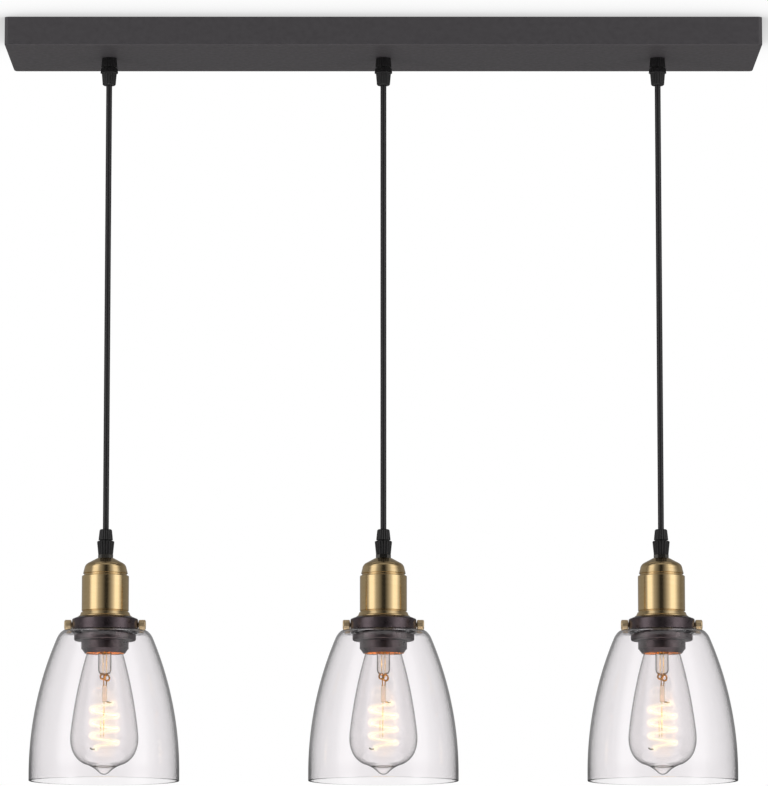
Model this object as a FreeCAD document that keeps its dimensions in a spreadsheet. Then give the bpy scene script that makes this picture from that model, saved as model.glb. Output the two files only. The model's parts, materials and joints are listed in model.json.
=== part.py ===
import FreeCAD, Part
import math
import os
import Sketcher

# Linear island pendant: three glass lamps on cords under one long ceiling canopy.
# Millimetres, +Z up. The origin is the middle of the mounting bar's top face, on the ceiling.
# A lamp head is drawn about its seat, the plane where the brass cover meets the shade holder.

SIZES = {
    # canopy and its mounting bar
    "canopy_length": 710,
    "canopy_depth": 126,
    "canopy_height": 27,
    "canopy_wall": 1.2,
    "canopy_corner_radius": 4,
    "canopy_edge_radius": 1.6,
    "bar_width": 40,
    "bar_thickness": 1.5,
    "bar_tab_height": 16,
    "box_slot_spacing": 79.4,
    "box_slot_length": 16,
    "box_slot_radius": 2.4,
    "anchor_spacing": 560,
    "anchor_radius": 2.5,
    "end_screw_radius": 2,
    "end_screw_head_radius": 3.2,
    "end_screw_length": 9,
    "end_screw_drop": 9,
    # wiring inside the canopy
    "block_offset": 70,
    "block_length": 30,
    "block_width": 30,
    "block_height": 13,
    "pole_spacing": 9,
    "pole_radius": 2.4,
    "pole_screw_radius": 1.9,
    "lead_radius": 0.9,
    "lead_spacing": 1.85,
    "lead_entry": 6,
    "lead_bend": 3,
    "lead_height": 6.2,
    # cords
    "lamp_spacing": 260,
    "cord_diameter": 5.6,
    "cord_clearance": 0.3,
    "cord_drop": 423.2,
    "cord_flex_length": 13,
    "cord_mouth_gap": 0.1,
    "cord_joint_gap": 0.05,
    # strain reliefs under the canopy
    "shank_radius": 4.8,
    "shank_clearance": 0.2,
    "shank_length": 8,
    "lock_nut_flats": 14,
    "lock_nut_height": 4,
    "top_body_height": 8.9,
    "top_body_upper_radius": 7,
    "top_body_lower_radius": 7.7,
    "top_spigot_radius": 5.6,
    "top_spigot_length": 9,
    "grip_groove": 0.9,
    "top_nut_height": 16.3,
    "top_nut_collar_height": 5.1,
    "top_nut_collar_radius": 8.4,
    "top_nut_collar_chamfer": 0.6,
    "top_nut_shoulder_radius": 7.1,
    "top_nut_mouth_radius": 6.2,
    "nut_mouth_chamfer": 0.8,
    "nut_cavity_taper": 1,
    # strain reliefs on the lamp heads
    "head_nut_height": 10.1,
    "head_nut_base_radius": 6.7,
    "head_nut_mouth_radius": 5.8,
    "head_nut_band": 0.8,
    "head_body_height": 12.8,
    "head_body_upper_radius": 8.1,
    "head_body_lower_radius": 6.9,
    "head_body_chamfer": 0.6,
    "head_spigot_radius": 4.6,
    "head_spigot_length": 6,
    "head_shank_radius": 4.5,
    "head_shank_length": 7,
    "head_lock_nut_flats": 12.2,
    "head_lock_nut_height": 3.5,
    "flute_count": 12,
    "flute_radius": 0.9,
    # brass socket cover
    "cover_height": 55,
    "cover_radius": 22,
    "cover_wall": 0.8,
    "cover_flare_radius": 24.9,
    "cover_lip_height": 2.2,
    "cover_flare_height": 5.6,
    "cover_flare_round": 5,
    "cover_step_height": 38.4,
    "cover_step": 1.4,
    "cover_step_rise": 1.6,
    "cover_crown_height": 45.6,
    "cover_crown_radius": 19.6,
    "cover_crown_round": 6.5,
    "cover_crown_edge": 3.2,
    "cover_crown_rise": 5,
    "cover_neck_radius": 8.2,
    # socket
    "socket_height": 36,
    "socket_radius": 18.7,
    "socket_flange_radius": 20.4,
    "socket_flange_height": 3,
    "socket_chamfer": 2,
    "barrel_radius": 18.7,
    "barrel_drop": 27,
    "barrel_mouth_radius": 16.8,
    "barrel_mouth_height": 4,
    "shell_radius": 13.65,
    "shell_wall": 0.5,
    "shell_height": 19,
    "contact_radius": 4.5,
    "contact_thickness": 1.7,
    "contact_seat": 0.5,
    # shade holder, its screws and the ring under it
    "holder_radius": 30.8,
    "holder_height": 11.8,
    "holder_wall": 0.9,
    "holder_seat_radius": 25.6,
    "holder_slope": 1.8,
    "holder_edge_drop": 1.1,
    "holder_edge_inset": 0.72,
    "holder_edge_round": 1.3,
    "fit_clearance": 0.3,
    "thumb_drop": 7.4,
    "thumb_shank_radius": 1.6,
    "thumb_fit": 0.08,
    "thumb_tip_gap": 0.02,
    "thumb_neck_radius": 2.5,
    "thumb_neck_length": 0.9,
    "thumb_head_radius": 4.4,
    "thumb_head_length": 6.2,
    "thumb_chamfer": 0.8,
    "ring_radius": 22.1,
    "ring_flange_radius": 28.9,
    "ring_flange_drop": 16,
    "ring_flange_height": 6.5,
    "ring_flange_round": 1.6,
    "ring_flange_slope": 0.5,
    "ring_lip_radius": 17.9,
    "ring_mouth_radius": 18.8,
    "ring_taper_height": 4,
    "ring_taper_step": 0.6,
    "ring_lip_height": 7,
    # glass shade
    "shade_neck_radius": 28.6,
    "shade_wall": 2.2,
    "shade_height": 140.7,
    "shade_gap": 0.5,
    "shade_neck_round": 0.9,
    "shade_shoulder_radius": 36,
    "shade_shoulder_round": 7,
    "shade_haunch_radius": 44.7,
    "shade_haunch_drop": 7.5,
    "shade_haunch_round": 17,
    "shade_radius": 70,
    "shade_rim_band": 8,
    # bulb
    "bulb_length": 144.4,
    "bulb_gap": 0.05,
    "base_radius": 13.1,
    "base_height": 24.5,
    "base_wall": 0.6,
    "base_side_drop": 7,
    "base_cone_drop": 4.6,
    "base_cone_inset": 2.4,
    "base_tip_radius": 4.6,
    "base_tip_height": 1.6,
    "base_tip_flat": 3,
    "base_tip_chamfer": 1,
    "base_plug_height": 4,
    "base_inside_drop": 9,
    "glass_wall": 0.8,
    "glass_seal_height": 5,
    "glass_throat_gap": 0.3,
    "glass_throat_radius": 15.6,
    "glass_throat_height": 117,
    "glass_shoulder_radius": 17.2,
    "glass_shoulder_height": 111.5,
    "glass_throat_round": 3.7,
    "glass_side_round": 440,
    "glass_belly_radius": 31.15,
    "glass_belly_height": 41,
    "glass_radius": 31.7,
    "glass_widest_height": 33,
    "glass_bowl_radius": 28.1,
    "glass_bowl_height": 21.1,
    "glass_foot_radius": 17.4,
    "glass_foot_height": 10.8,
    "glass_foot_round": 30,
    "glass_tip_radius": 5.4,
    "glass_tip_height": 3,
    "glass_tip_round": 26,
    "stem_flange": 2,
    "stem_radius": 5.9,
    "stem_length": 30,
    "stem_rod_radius": 1.5,
    "stem_rod_length": 28,
    "wire_radius": 0.6,
    "overlap": 1,
    "spiral_radius": 12.8,
    "spiral_thickness": 2.4,
    "spiral_turns": 4,
    "spiral_pitch": 10.8,
}

SIDES = {"left": -1, "centre": 0, "right": 1}
THUMB_ANGLES = {"left": 180, "right": 0, "rear": 90}
HALF = 0.5
QUARTER_TURN = 90
FULL_TURN = 360


class Size:
    """A length: its number, and the same sum written for the spreadsheet."""

    def __init__(self, number, text=None):
        self.number = float(number)
        self.text = text or f"({self.number:.9g})"

    def __add__(self, other):
        other = as_size(other)
        return Size(self.number + other.number, f"({self.text} + {other.text})")

    def __sub__(self, other):
        other = as_size(other)
        return Size(self.number - other.number, f"({self.text} - {other.text})")

    def __mul__(self, other):
        other = as_size(other)
        return Size(self.number * other.number, f"({self.text} * {other.text})")

    def __truediv__(self, other):
        other = as_size(other)
        return Size(self.number / other.number, f"({self.text} / {other.text})")

    def __neg__(self):
        return Size(-self.number, f"(0 - {self.text})")

    def __rsub__(self, other):
        return as_size(other) - self

    __radd__ = __add__
    __rmul__ = __mul__

    def root(self):
        return Size(math.sqrt(self.number), f"sqrt({self.text})")


def as_size(value):
    return value if isinstance(value, Size) else Size(value)


def make_sheet(doc):
    sheet = doc.addObject("Spreadsheet::Sheet", "Sizes")
    for row, (name, number) in enumerate(SIZES.items(), start=1):
        sheet.set(f"A{row}", name)
        sheet.set(f"B{row}", str(number))
        sheet.setAlias(f"B{row}", name)
    doc.recompute()
    return sheet


doc = FreeCAD.newDocument("IslandPendant")
make_sheet(doc)
size = {name: Size(number, f"Sizes.{name}") for name, number in SIZES.items()}
nodes = {}


# Building helpers

def new_body(label, x=0, z=0):
    """A body whose own frame sits at (x, 0, z)."""
    body = doc.addObject("PartDesign::Body", label)
    body.Label = label
    body.setExpression("Placement.Base.x", as_size(x).text)
    body.setExpression("Placement.Base.z", as_size(z).text)
    return body


def keep(label, thing):
    nodes[label] = thing
    return thing


def group(label, things):
    """Separate solids that share one node."""
    compound = doc.addObject("Part::Compound", label)
    compound.Label = label
    compound.Links = things
    return keep(label, compound)


def sketch_in(body, name, plane_role):
    sketch = body.newObject("Sketcher::SketchObject", name)
    plane = next(item for item in body.Origin.OriginFeatures if item.Role == plane_role)
    sketch.AttachmentSupport = (plane, [""])
    sketch.MapMode = "FlatFace"
    return sketch


def bind(sketch, constraint, value):
    index = sketch.addConstraint(constraint)
    sketch.setExpression(f"Constraints[{index}]", value.text)


def arc_middle(start, end, radius):
    """The middle of an arc that bows to the right of its chord where the radius is positive."""
    chord = end - start
    half = chord.Length / 2
    bow = abs(radius) - math.sqrt(max(radius * radius - half * half, 0))
    right = FreeCAD.Vector(chord.y, -chord.x, 0).normalize()
    return (start + end) * HALF + right * math.copysign(bow, radius)


def draw_outline(sketch, corners):
    """A closed outline. A corner is (x, y), or (x, y, radius) where an arc leads to the next."""
    corners = [tuple(as_size(value) for value in corner) for corner in corners]
    places = [FreeCAD.Vector(corner[0].number, corner[1].number, 0) for corner in corners]
    edges = []
    for index, corner in enumerate(corners):
        start, end = places[index], places[(index + 1) % len(places)]
        if len(corner) > 2:
            curve = Part.Arc(start, arc_middle(start, end, corner[2].number), end)
        else:
            curve = Part.LineSegment(start, end)
        edges.append(sketch.addGeometry(curve))

    def point_at(edge, place):
        return min((1, 2), key=lambda end: (sketch.getPoint(edge, end) - place).Length)

    for index, corner in enumerate(corners):
        edge, before, place = edges[index], edges[index - 1], places[index]
        start, joined = point_at(edge, place), point_at(before, place)
        sketch.addConstraint(Sketcher.Constraint("Coincident", before, joined, edge, start))
        for kind, axis, value in (("DistanceX", -2, corner[0]), ("DistanceY", -1, corner[1])):
            if value.number == 0:
                sketch.addConstraint(Sketcher.Constraint("PointOnObject", edge, start, axis))
            else:
                bind(sketch, Sketcher.Constraint(kind, -1, 1, edge, start, value.number), value)
        if len(corner) > 2:
            radius = corner[2] if corner[2].number > 0 else -corner[2]
            bind(sketch, Sketcher.Constraint("Radius", edge, radius.number), radius)


def draw_circle(sketch, x, y, radius):
    x, y, radius = as_size(x), as_size(y), as_size(radius)
    centre = FreeCAD.Vector(x.number, y.number, 0)
    circle = sketch.addGeometry(Part.Circle(centre, FreeCAD.Vector(0, 0, 1), radius.number))
    bind(sketch, Sketcher.Constraint("Radius", circle, radius.number), radius)
    for kind, axis, value in (("DistanceX", -2, x), ("DistanceY", -1, y)):
        if value.number == 0:
            sketch.addConstraint(Sketcher.Constraint("PointOnObject", circle, 3, axis))
        else:
            bind(sketch, Sketcher.Constraint(kind, -1, 1, circle, 3, value.number), value)


def revolve(body, corners):
    """A solid of revolution about the body's own Z axis."""
    sketch = sketch_in(body, "Profile", "XZ_Plane")
    draw_outline(sketch, corners)
    turned = body.newObject("PartDesign::Revolution", "Turned")
    turned.Profile = sketch
    turned.ReferenceAxis = (sketch, ["V_Axis"])
    turned.Angle = FULL_TURN
    sketch.Visibility = False
    return turned


def pad(body, sketch, length, middle=False, downwards=False):
    feature = body.newObject("PartDesign::Pad", "Pad")
    feature.Profile = sketch
    feature.setExpression("Length", as_size(length).text)
    feature.Midplane = middle
    feature.Reversed = downwards
    return feature


def cut_through(body, sketch):
    """A cut that passes right through the body, both ways from the sketch."""
    feature = body.newObject("PartDesign::Pocket", "Cut")
    feature.Profile = sketch
    feature.Type = "ThroughAll"
    feature.Midplane = True
    return feature


def cut_flutes(body, centre_radius):
    """Straight grooves round a turned piece."""
    sketch = sketch_in(body, "Flute", "XY_Plane")
    draw_circle(sketch, centre_radius, 0, size["flute_radius"])
    flute = cut_through(body, sketch)
    pattern = body.newObject("PartDesign::PolarPattern", "Flutes")
    pattern.Originals = [flute]
    pattern.Axis = (sketch, ["N_Axis"])
    pattern.Angle = FULL_TURN
    pattern.setExpression("Occurrences", size["flute_count"].text)
    body.Tip = pattern


def shell_outline(corners, wall):
    """A wall's section from its outer outline, listed upwards as (x, y, normal angle, arc)."""
    outer = []
    inner = []
    for x, y, angle, *_ in corners:
        outer.append((x, y))
        slant = math.radians(angle)
        shift_x, shift_y = round(math.cos(slant), 6), round(math.sin(slant), 6)
        inner.append((x - wall * shift_x if shift_x else x, y - wall * shift_y if shift_y else y))
    for index, corner in enumerate(corners[:-1]):
        if len(corner) < 4:
            continue
        if corner[3] == "dome":
            outer_arc = dome_radius(outer[index], outer[index + 1])
            inner_arc = dome_radius(inner[index], inner[index + 1])
        else:
            outer_arc = as_size(corner[3])
            inner_arc = outer_arc - wall
        outer[index] = (*outer[index], outer_arc)
        inner[index + 1] = (*inner[index + 1][:2], -inner_arc)
    return outer + inner[::-1]


def dome_radius(pole, end):
    """The radius of the dome that starts square to the axis at its pole."""
    rise = as_size(end[1]) - pole[1]
    return (as_size(end[0]) * end[0] + rise * rise) / (rise * 2)


def widest_arc(spread, rise):
    """The radius of the arc that is upright where the outline is widest."""
    return (spread * spread + rise * rise) / (spread * 2)


def rounded_rectangle(length, width, radius):
    """Listed anticlockwise, so its corner arcs bow to the right."""
    x, y = length * HALF, width * HALF
    return [
        (x - radius, -y, radius), (x, -y + radius), (x, y - radius, radius), (x - radius, y),
        (-x + radius, y, radius), (-x, y - radius), (-x, -y + radius, radius), (-x + radius, -y),
    ]


def slot_outline(centre, reach, radius):
    return [
        (centre - reach, -radius), (centre + reach, -radius, radius), (centre + reach + radius, 0, radius),
        (centre + reach, radius), (centre - reach, radius, radius), (centre - reach - radius, 0, radius),
    ]


def hexagon(flats):
    corner_radius = flats / math.sqrt(3)
    turns = [math.radians(step * FULL_TURN / 6) for step in range(6)]
    return [(corner_radius * round(math.cos(a), 9), corner_radius * round(math.sin(a), 9)) for a in turns]


# Levels, all measured from the ceiling

cord_radius = size["cord_diameter"] * HALF
bore_radius = cord_radius + size["cord_clearance"]
canopy_floor = -size["canopy_height"]
top_grip_height = size["top_body_height"] + size["grip_groove"] + size["top_nut_height"]
cord_mouth = canopy_floor - top_grip_height
swing_level = cord_mouth - size["cord_mouth_gap"]
sway_level = swing_level - size["cord_flex_length"]
head_mouth = cord_mouth - size["cord_drop"]
head_grip_height = (
    size["head_nut_height"] + size["grip_groove"] + size["head_body_height"] + size["head_lock_nut_height"]
)
seat_level = head_mouth - head_grip_height - size["cover_height"]


# Canopy

def canopy_pan():
    """A pressed pan, open against the ceiling, with three holes for the strain reliefs."""
    body = new_body("canopy_pan")
    length, depth, wall = size["canopy_length"], size["canopy_depth"], size["canopy_wall"]
    outer = sketch_in(body, "Outside", "XY_Plane")
    draw_outline(outer, rounded_rectangle(length, depth, size["canopy_corner_radius"]))
    pad(body, outer, size["canopy_height"], downwards=True)
    doc.recompute()
    solid = body.Tip
    floor = -SIZES["canopy_height"]
    rim = [
        f"Edge{number}" for number, edge in enumerate(solid.Shape.Edges, start=1)
        if abs(edge.BoundBox.ZMax - floor) < 0.001
    ]
    edge_round = body.newObject("PartDesign::Fillet", "FloorEdge")
    edge_round.Base = (solid, rim)
    edge_round.setExpression("Radius", size["canopy_edge_radius"].text)
    inner = sketch_in(body, "Inside", "XY_Plane")
    inner_radius = size["canopy_corner_radius"] - wall
    draw_outline(inner, rounded_rectangle(length - wall * 2, depth - wall * 2, inner_radius))
    hollow = body.newObject("PartDesign::Pocket", "Hollow")
    hollow.Profile = inner
    hollow.setExpression("Length", (size["canopy_height"] - wall).text)
    holes = sketch_in(body, "GripHoles", "XY_Plane")
    for side in SIDES.values():
        draw_circle(holes, size["lamp_spacing"] * side, 0, size["shank_radius"] + size["shank_clearance"])
    cut_through(body, holes)
    for side in (-1, 1):
        sink = body.newObject("PartDesign::SubtractiveCone", "Countersink")
        sink.setExpression("Radius1", size["end_screw_head_radius"].text)
        sink.setExpression("Radius2", size["end_screw_radius"].text)
        sink.setExpression("Height", wall.text)
        turn = FreeCAD.Rotation(FreeCAD.Vector(0, 1, 0), -QUARTER_TURN * side)
        sink.Placement = FreeCAD.Placement(FreeCAD.Vector(0, 0, 0), turn)
        sink.setExpression("Placement.Base.x", (length * (HALF * side)).text)
        sink.setExpression("Placement.Base.z", (-size["end_screw_drop"]).text)
    keep("canopy_pan", body)


def mounting_bar():
    """A strap against the ceiling, its ends turned down to take the canopy's end screws."""
    body = new_body("mounting_bar")
    half = (size["canopy_length"] - size["canopy_wall"] * 2) * HALF
    thick, drop = size["bar_thickness"], size["bar_tab_height"]
    side_view = sketch_in(body, "SideView", "XZ_Plane")
    draw_outline(side_view, [
        (-half, -drop), (-half + thick, -drop), (-half + thick, -thick), (half - thick, -thick),
        (half - thick, -drop), (half, -drop), (half, 0), (-half, 0),
    ])
    pad(body, side_view, size["bar_width"], middle=True)
    radius = size["box_slot_radius"]
    reach = size["box_slot_length"] * HALF - radius
    holes = sketch_in(body, "SlotsAndAnchors", "XY_Plane")
    for side in (-1, 1):
        draw_outline(holes, slot_outline(size["box_slot_spacing"] * (HALF * side), reach, radius))
        draw_circle(holes, size["anchor_spacing"] * (HALF * side), 0, size["anchor_radius"])
    cut_through(body, holes)
    tapped = sketch_in(body, "TappedHoles", "YZ_Plane")
    draw_circle(tapped, 0, -size["end_screw_drop"], size["end_screw_radius"])
    cut_through(body, tapped)
    keep("mounting_bar", body)


def end_screws():
    """Countersunk screws through the pan's ends into the bar's tabs, heads flush."""
    screws = []
    for side in (-1, 1):
        outside = size["canopy_length"] * (HALF * side)
        body = new_body(f"canopy_screw_{'left' if side < 0 else 'right'}", outside, -size["end_screw_drop"])
        body.Placement.Rotation = FreeCAD.Rotation(FreeCAD.Vector(0, 1, 0), QUARTER_TURN * side)
        revolve(body, [
            (0, -size["end_screw_length"]), (size["end_screw_radius"], -size["end_screw_length"]),
            (size["end_screw_radius"], -size["canopy_wall"]), (size["end_screw_head_radius"], 0), (0, 0),
        ])
        screws.append(body)
    group("canopy_screws", screws)


# Strain reliefs. Each is drawn about the plane of its cord mouth, Z pointing back to its panel.

def top_grip_bodies():
    """Threaded bodies: a fluted boss under the canopy, a shank through it and a spigot for the nut."""
    foot = size["top_body_lower_radius"]
    boss = size["top_nut_height"] + size["grip_groove"]
    panel = top_grip_height
    bodies = []
    for name, side in SIDES.items():
        body = new_body(f"canopy_grip_body_{name}", size["lamp_spacing"] * side, cord_mouth)
        shank_top = panel + size["canopy_wall"] + size["shank_length"]
        revolve(body, [
            (cord_radius, boss - size["top_spigot_length"]),
            (size["top_spigot_radius"], boss - size["top_spigot_length"]),
            (size["top_spigot_radius"], boss), (foot, boss),
            (size["top_body_upper_radius"], panel), (size["shank_radius"], panel),
            (size["shank_radius"], shank_top), (cord_radius, shank_top),
        ])
        cut_flutes(body, foot + size["flute_radius"] * HALF)
        bodies.append(body)
    group("canopy_grip_bodies", bodies)


def top_clamp_nuts():
    """Fluted nuts with a wide collar and a tapered nose that squeeze the grip on the cord."""
    top = size["top_nut_height"]
    collar = top - size["top_nut_collar_height"]
    collar_radius, chamfer = size["top_nut_collar_radius"], size["top_nut_collar_chamfer"]
    mouth, shoulder = size["top_nut_mouth_radius"], size["top_nut_shoulder_radius"]
    nose = size["nut_mouth_chamfer"]
    cavity = size["top_spigot_radius"]
    floor = top + size["grip_groove"] - size["top_spigot_length"] - size["cord_clearance"]
    nuts = []
    for name, side in SIDES.items():
        body = new_body(f"canopy_clamp_nut_{name}", size["lamp_spacing"] * side, cord_mouth)
        revolve(body, [
            (bore_radius, 0), (mouth - nose, 0), (mouth, nose), (shoulder, collar),
            (collar_radius, collar + chamfer), (collar_radius - chamfer, top),
            (cavity, top), (cavity, floor), (bore_radius, floor - size["nut_cavity_taper"]),
        ])
        cut_flutes(body, collar_radius + size["flute_radius"] * HALF)
        nuts.append(body)
    group("canopy_clamp_nuts", nuts)


def top_lock_nuts():
    """Hexagon nuts inside the pan."""
    nuts = []
    for name, side in SIDES.items():
        body = new_body(f"canopy_lock_nut_{name}", size["lamp_spacing"] * side, canopy_floor + size["canopy_wall"])
        plan = sketch_in(body, "Plan", "XY_Plane")
        draw_outline(plan, hexagon(size["lock_nut_flats"]))
        draw_circle(plan, 0, 0, size["shank_radius"])
        pad(body, plan, size["lock_nut_height"])
        nuts.append(body)
    group("canopy_lock_nuts", nuts)


# Wiring inside the canopy

block_middle = -(size["bar_thickness"] + size["block_height"] * HALF)
jacket_end = block_middle - size["lead_height"]


def cord_tails():
    """The cords' upper ends, from just above the mouth to where the jacket is stripped."""
    tails = []
    for name, side in SIDES.items():
        body = new_body(f"cord_tail_{name}", size["lamp_spacing"] * side)
        bottom = swing_level + cord_radius + size["cord_joint_gap"]
        revolve(body, [(0, bottom), (cord_radius, bottom), (cord_radius, jacket_end), (0, jacket_end)])
        tails.append(body)
    group("cord_tails", tails)


def terminal_block():
    """A three-pole block under the bar, with wire holes along it and screws from below."""
    body = new_body("terminal_block", size["block_offset"], -size["bar_thickness"])
    plan = sketch_in(body, "Plan", "XY_Plane")
    x, y = size["block_length"] * HALF, size["block_width"] * HALF
    draw_outline(plan, [(-x, -y), (x, -y), (x, y), (-x, y)])
    pad(body, plan, size["block_height"], downwards=True)
    holes = sketch_in(body, "WireHoles", "YZ_Plane")
    screws = sketch_in(body, "ScrewHoles", "XY_Plane")
    for pole in (-1, 0, 1):
        draw_circle(holes, size["pole_spacing"] * pole, -size["block_height"] * HALF, size["pole_radius"])
        for way in (-1, 1):
            draw_circle(screws, x * (HALF * way), size["pole_spacing"] * pole, size["pole_screw_radius"])
    cut_through(body, holes)
    screws.setExpression("AttachmentOffset.Base.z", (-size["block_height"] * HALF).text)
    wells = body.newObject("PartDesign::Pocket", "ScrewWells")
    wells.Profile = screws
    wells.Type = "ThroughAll"
    keep("terminal_block", body)


def lead_path(points, bend):
    """Straight runs joined by arcs that touch them."""
    edges = []
    start = points[0]
    for corner, after in zip(points[1:-1], points[2:]):
        into = (corner - start).normalize()
        away = (after - corner).normalize()
        turn = into.getAngle(away)
        setback = bend * math.tan(turn / 2)
        first, last = corner - into * setback, corner + away * setback
        inward = (away - into).normalize()
        centre = corner + inward * (bend / math.cos(turn / 2))
        edges.append(Part.LineSegment(start, first).toShape())
        edges.append(Part.Arc(first, centre - inward * bend, last).toShape())
        start = last
    edges.append(Part.LineSegment(start, points[-1]).toShape())
    return Part.Wire(edges)


def sweep_round(path, radius):
    """A round section carried along a path."""
    start = path.Edges[0]
    place = start.valueAt(start.FirstParameter)
    along = start.tangentAt(start.FirstParameter)
    section = Part.Wire(Part.makeCircle(radius, place, along))
    return path.makePipeShell([section], True, False)


def lead_wires():
    """Three conductors from each cord tail to the terminal block."""
    radius, bend = SIZES["lead_radius"], SIZES["lead_bend"]
    block = SIZES["block_offset"]
    level = block_middle.number
    leads = []
    for name, side in SIDES.items():
        way = 1 if name == "right" else -1
        rise = {"left": 1, "centre": -1, "right": 0}[name] * (radius + SIZES["fit_clearance"] * HALF)
        inside = block + way * (SIZES["block_length"] / 2 - SIZES["lead_entry"])
        for pole in (-1, 0, 1):
            x, y = SIZES["lamp_spacing"] * side, SIZES["lead_spacing"] * pole
            far_y = SIZES["pole_spacing"] * pole
            path = lead_path([
                FreeCAD.Vector(x, y, jacket_end.number),
                FreeCAD.Vector(x, y, level + rise),
                FreeCAD.Vector(inside, far_y, level + rise),
            ], bend)
            leads.append(sweep_round(path, radius))
    feature = doc.addObject("Part::Feature", "lead_wires")
    feature.Label = "lead_wires"
    feature.Shape = Part.Compound(leads)
    feature.Placement = FreeCAD.Placement()
    keep("lead_wires", feature)


# Lamps

def cord_pieces(name, x):
    """The cord in two stretches: a short one that bends at the canopy, and the long drop."""
    flex = new_body(f"cord_flex_{name}", x)
    cup = cord_radius + size["cord_joint_gap"]
    cup_rim = sway_level + (cup * cup - cord_radius * cord_radius).root()
    revolve(flex, [
        (0, sway_level + cup, -cup), (cord_radius, cup_rim), (cord_radius, swing_level, cord_radius),
        (0, swing_level + cord_radius),
    ])
    keep(f"cord_flex_{name}", flex)
    cord = new_body(f"cord_{name}", x)
    bottom = seat_level + size["socket_height"]
    revolve(cord, [
        (0, bottom), (cord_radius, bottom), (cord_radius, sway_level, cord_radius),
        (0, sway_level + cord_radius),
    ])
    keep(f"cord_{name}", cord)


def head_grip(name, x):
    """The lamp head's strain relief: nose nut, fluted body and a hexagon nut on the cover."""
    panel = size["cover_height"]
    boss = panel + size["head_lock_nut_height"]
    boss_top = boss + size["head_body_height"]
    nut_foot = boss_top + size["grip_groove"]
    mouth = nut_foot + size["head_nut_height"]

    nut = new_body(f"head_clamp_nut_{name}", x, seat_level)
    cavity = size["head_spigot_radius"]
    roof = boss_top + size["head_spigot_length"] + size["cord_clearance"]
    base, nose = size["head_nut_base_radius"], size["head_nut_mouth_radius"]
    edge = size["nut_mouth_chamfer"]
    revolve(nut, [
        (cavity, nut_foot), (base, nut_foot), (base, nut_foot + size["head_nut_band"]), (nose, mouth - edge),
        (nose - edge, mouth), (bore_radius, mouth), (bore_radius, roof + size["nut_cavity_taper"]),
        (cavity, roof),
    ])
    cut_flutes(nut, base + size["flute_radius"] * HALF)
    keep(f"head_clamp_nut_{name}", nut)

    body = new_body(f"head_grip_body_{name}", x, seat_level)
    foot, shank = size["head_body_lower_radius"], size["head_shank_radius"]
    brow, chamfer = size["head_body_upper_radius"], size["head_body_chamfer"]
    revolve(body, [
        (cord_radius, panel - size["head_shank_length"]), (shank, panel - size["head_shank_length"]),
        (shank, boss), (foot, boss), (brow, boss_top - chamfer),
        (brow - chamfer, boss_top), (size["head_spigot_radius"], boss_top),
        (size["head_spigot_radius"], boss_top + size["head_spigot_length"]),
        (cord_radius, boss_top + size["head_spigot_length"]),
    ])
    cut_flutes(body, brow + size["flute_radius"] * HALF)
    keep(f"head_grip_body_{name}", body)

    lock = new_body(f"head_lock_nut_{name}", x, seat_level + panel)
    plan = sketch_in(lock, "Plan", "XY_Plane")
    draw_outline(plan, hexagon(size["head_lock_nut_flats"]))
    draw_circle(plan, 0, 0, shank)
    pad(lock, plan, size["head_lock_nut_height"])
    keep(f"head_lock_nut_{name}", lock)


def socket_cover(name, x):
    """Spun brass cover: flared foot, straight side, one step and a rounded crown."""
    body = new_body(f"socket_cover_{name}", x, seat_level)
    side, top, lip = size["cover_radius"], size["cover_height"], size["cover_flare_radius"]
    step = size["cover_step_height"]
    crown, crown_height = size["cover_crown_radius"], size["cover_crown_height"]
    revolve(body, shell_outline([
        (lip, 0, 0),
        (lip, size["cover_lip_height"], 0, -size["cover_flare_round"]),
        (side, size["cover_flare_height"], 0),
        (side, step, 0),
        (side - size["cover_step"], step + size["cover_step_rise"], 0),
        (crown, crown_height, 6, size["cover_crown_round"]),
        (crown - size["cover_crown_edge"], crown_height + size["cover_crown_rise"], 60),
        (size["cover_neck_radius"], top, 90),
        (size["head_shank_radius"] + size["shank_clearance"], top, 90),
    ], size["cover_wall"]))
    keep(f"socket_cover_{name}", body)


def socket(name, x):
    """The insulating socket body, and the live shell and centre contact inside it."""
    body = new_body(f"socket_body_{name}", x, seat_level)
    flange, upper, barrel = size["socket_flange_radius"], size["socket_radius"], size["barrel_radius"]
    well = size["shell_radius"]
    roof, edge = -size["contact_seat"], size["socket_chamfer"]
    revolve(body, [
        (size["barrel_mouth_radius"], -size["barrel_drop"]), (barrel, -size["barrel_drop"]), (barrel, 0),
        (flange, 0), (flange, size["socket_flange_height"]), (upper, size["socket_flange_height"]),
        (upper, size["socket_height"] - edge), (upper - edge, size["socket_height"]),
        (0, size["socket_height"]),
        (0, roof), (well, roof),
        (well, -size["barrel_drop"] + size["barrel_mouth_height"]),
        (size["barrel_mouth_radius"], -size["barrel_drop"] + size["barrel_mouth_height"]),
    ])
    keep(f"socket_body_{name}", body)

    shell = new_body(f"socket_shell_{name}", x, seat_level)
    low = -size["barrel_drop"] + size["barrel_mouth_height"]
    outside, inside = size["shell_radius"], size["shell_radius"] - size["shell_wall"]
    revolve(shell, [(inside, low), (outside, low), (outside, low + size["shell_height"]),
                    (inside, low + size["shell_height"])])
    contact = new_body(f"centre_contact_{name}", x, seat_level)
    revolve(contact, [
        (0, roof - size["contact_thickness"]), (size["contact_radius"], roof - size["contact_thickness"]),
        (size["contact_radius"], roof), (0, roof),
    ])
    group(f"socket_contacts_{name}", [shell, contact])


def holder_corners():
    rim = size["holder_radius"]
    return [
        (rim, -size["holder_height"], 0),
        (rim, -(size["holder_slope"] + size["holder_edge_drop"]), 0, size["holder_edge_round"]),
        (rim - size["holder_edge_inset"], -size["holder_slope"], 63),
        (size["holder_seat_radius"], 0, 90),
        (size["barrel_radius"] + size["fit_clearance"], 0, 90),
    ]


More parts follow.
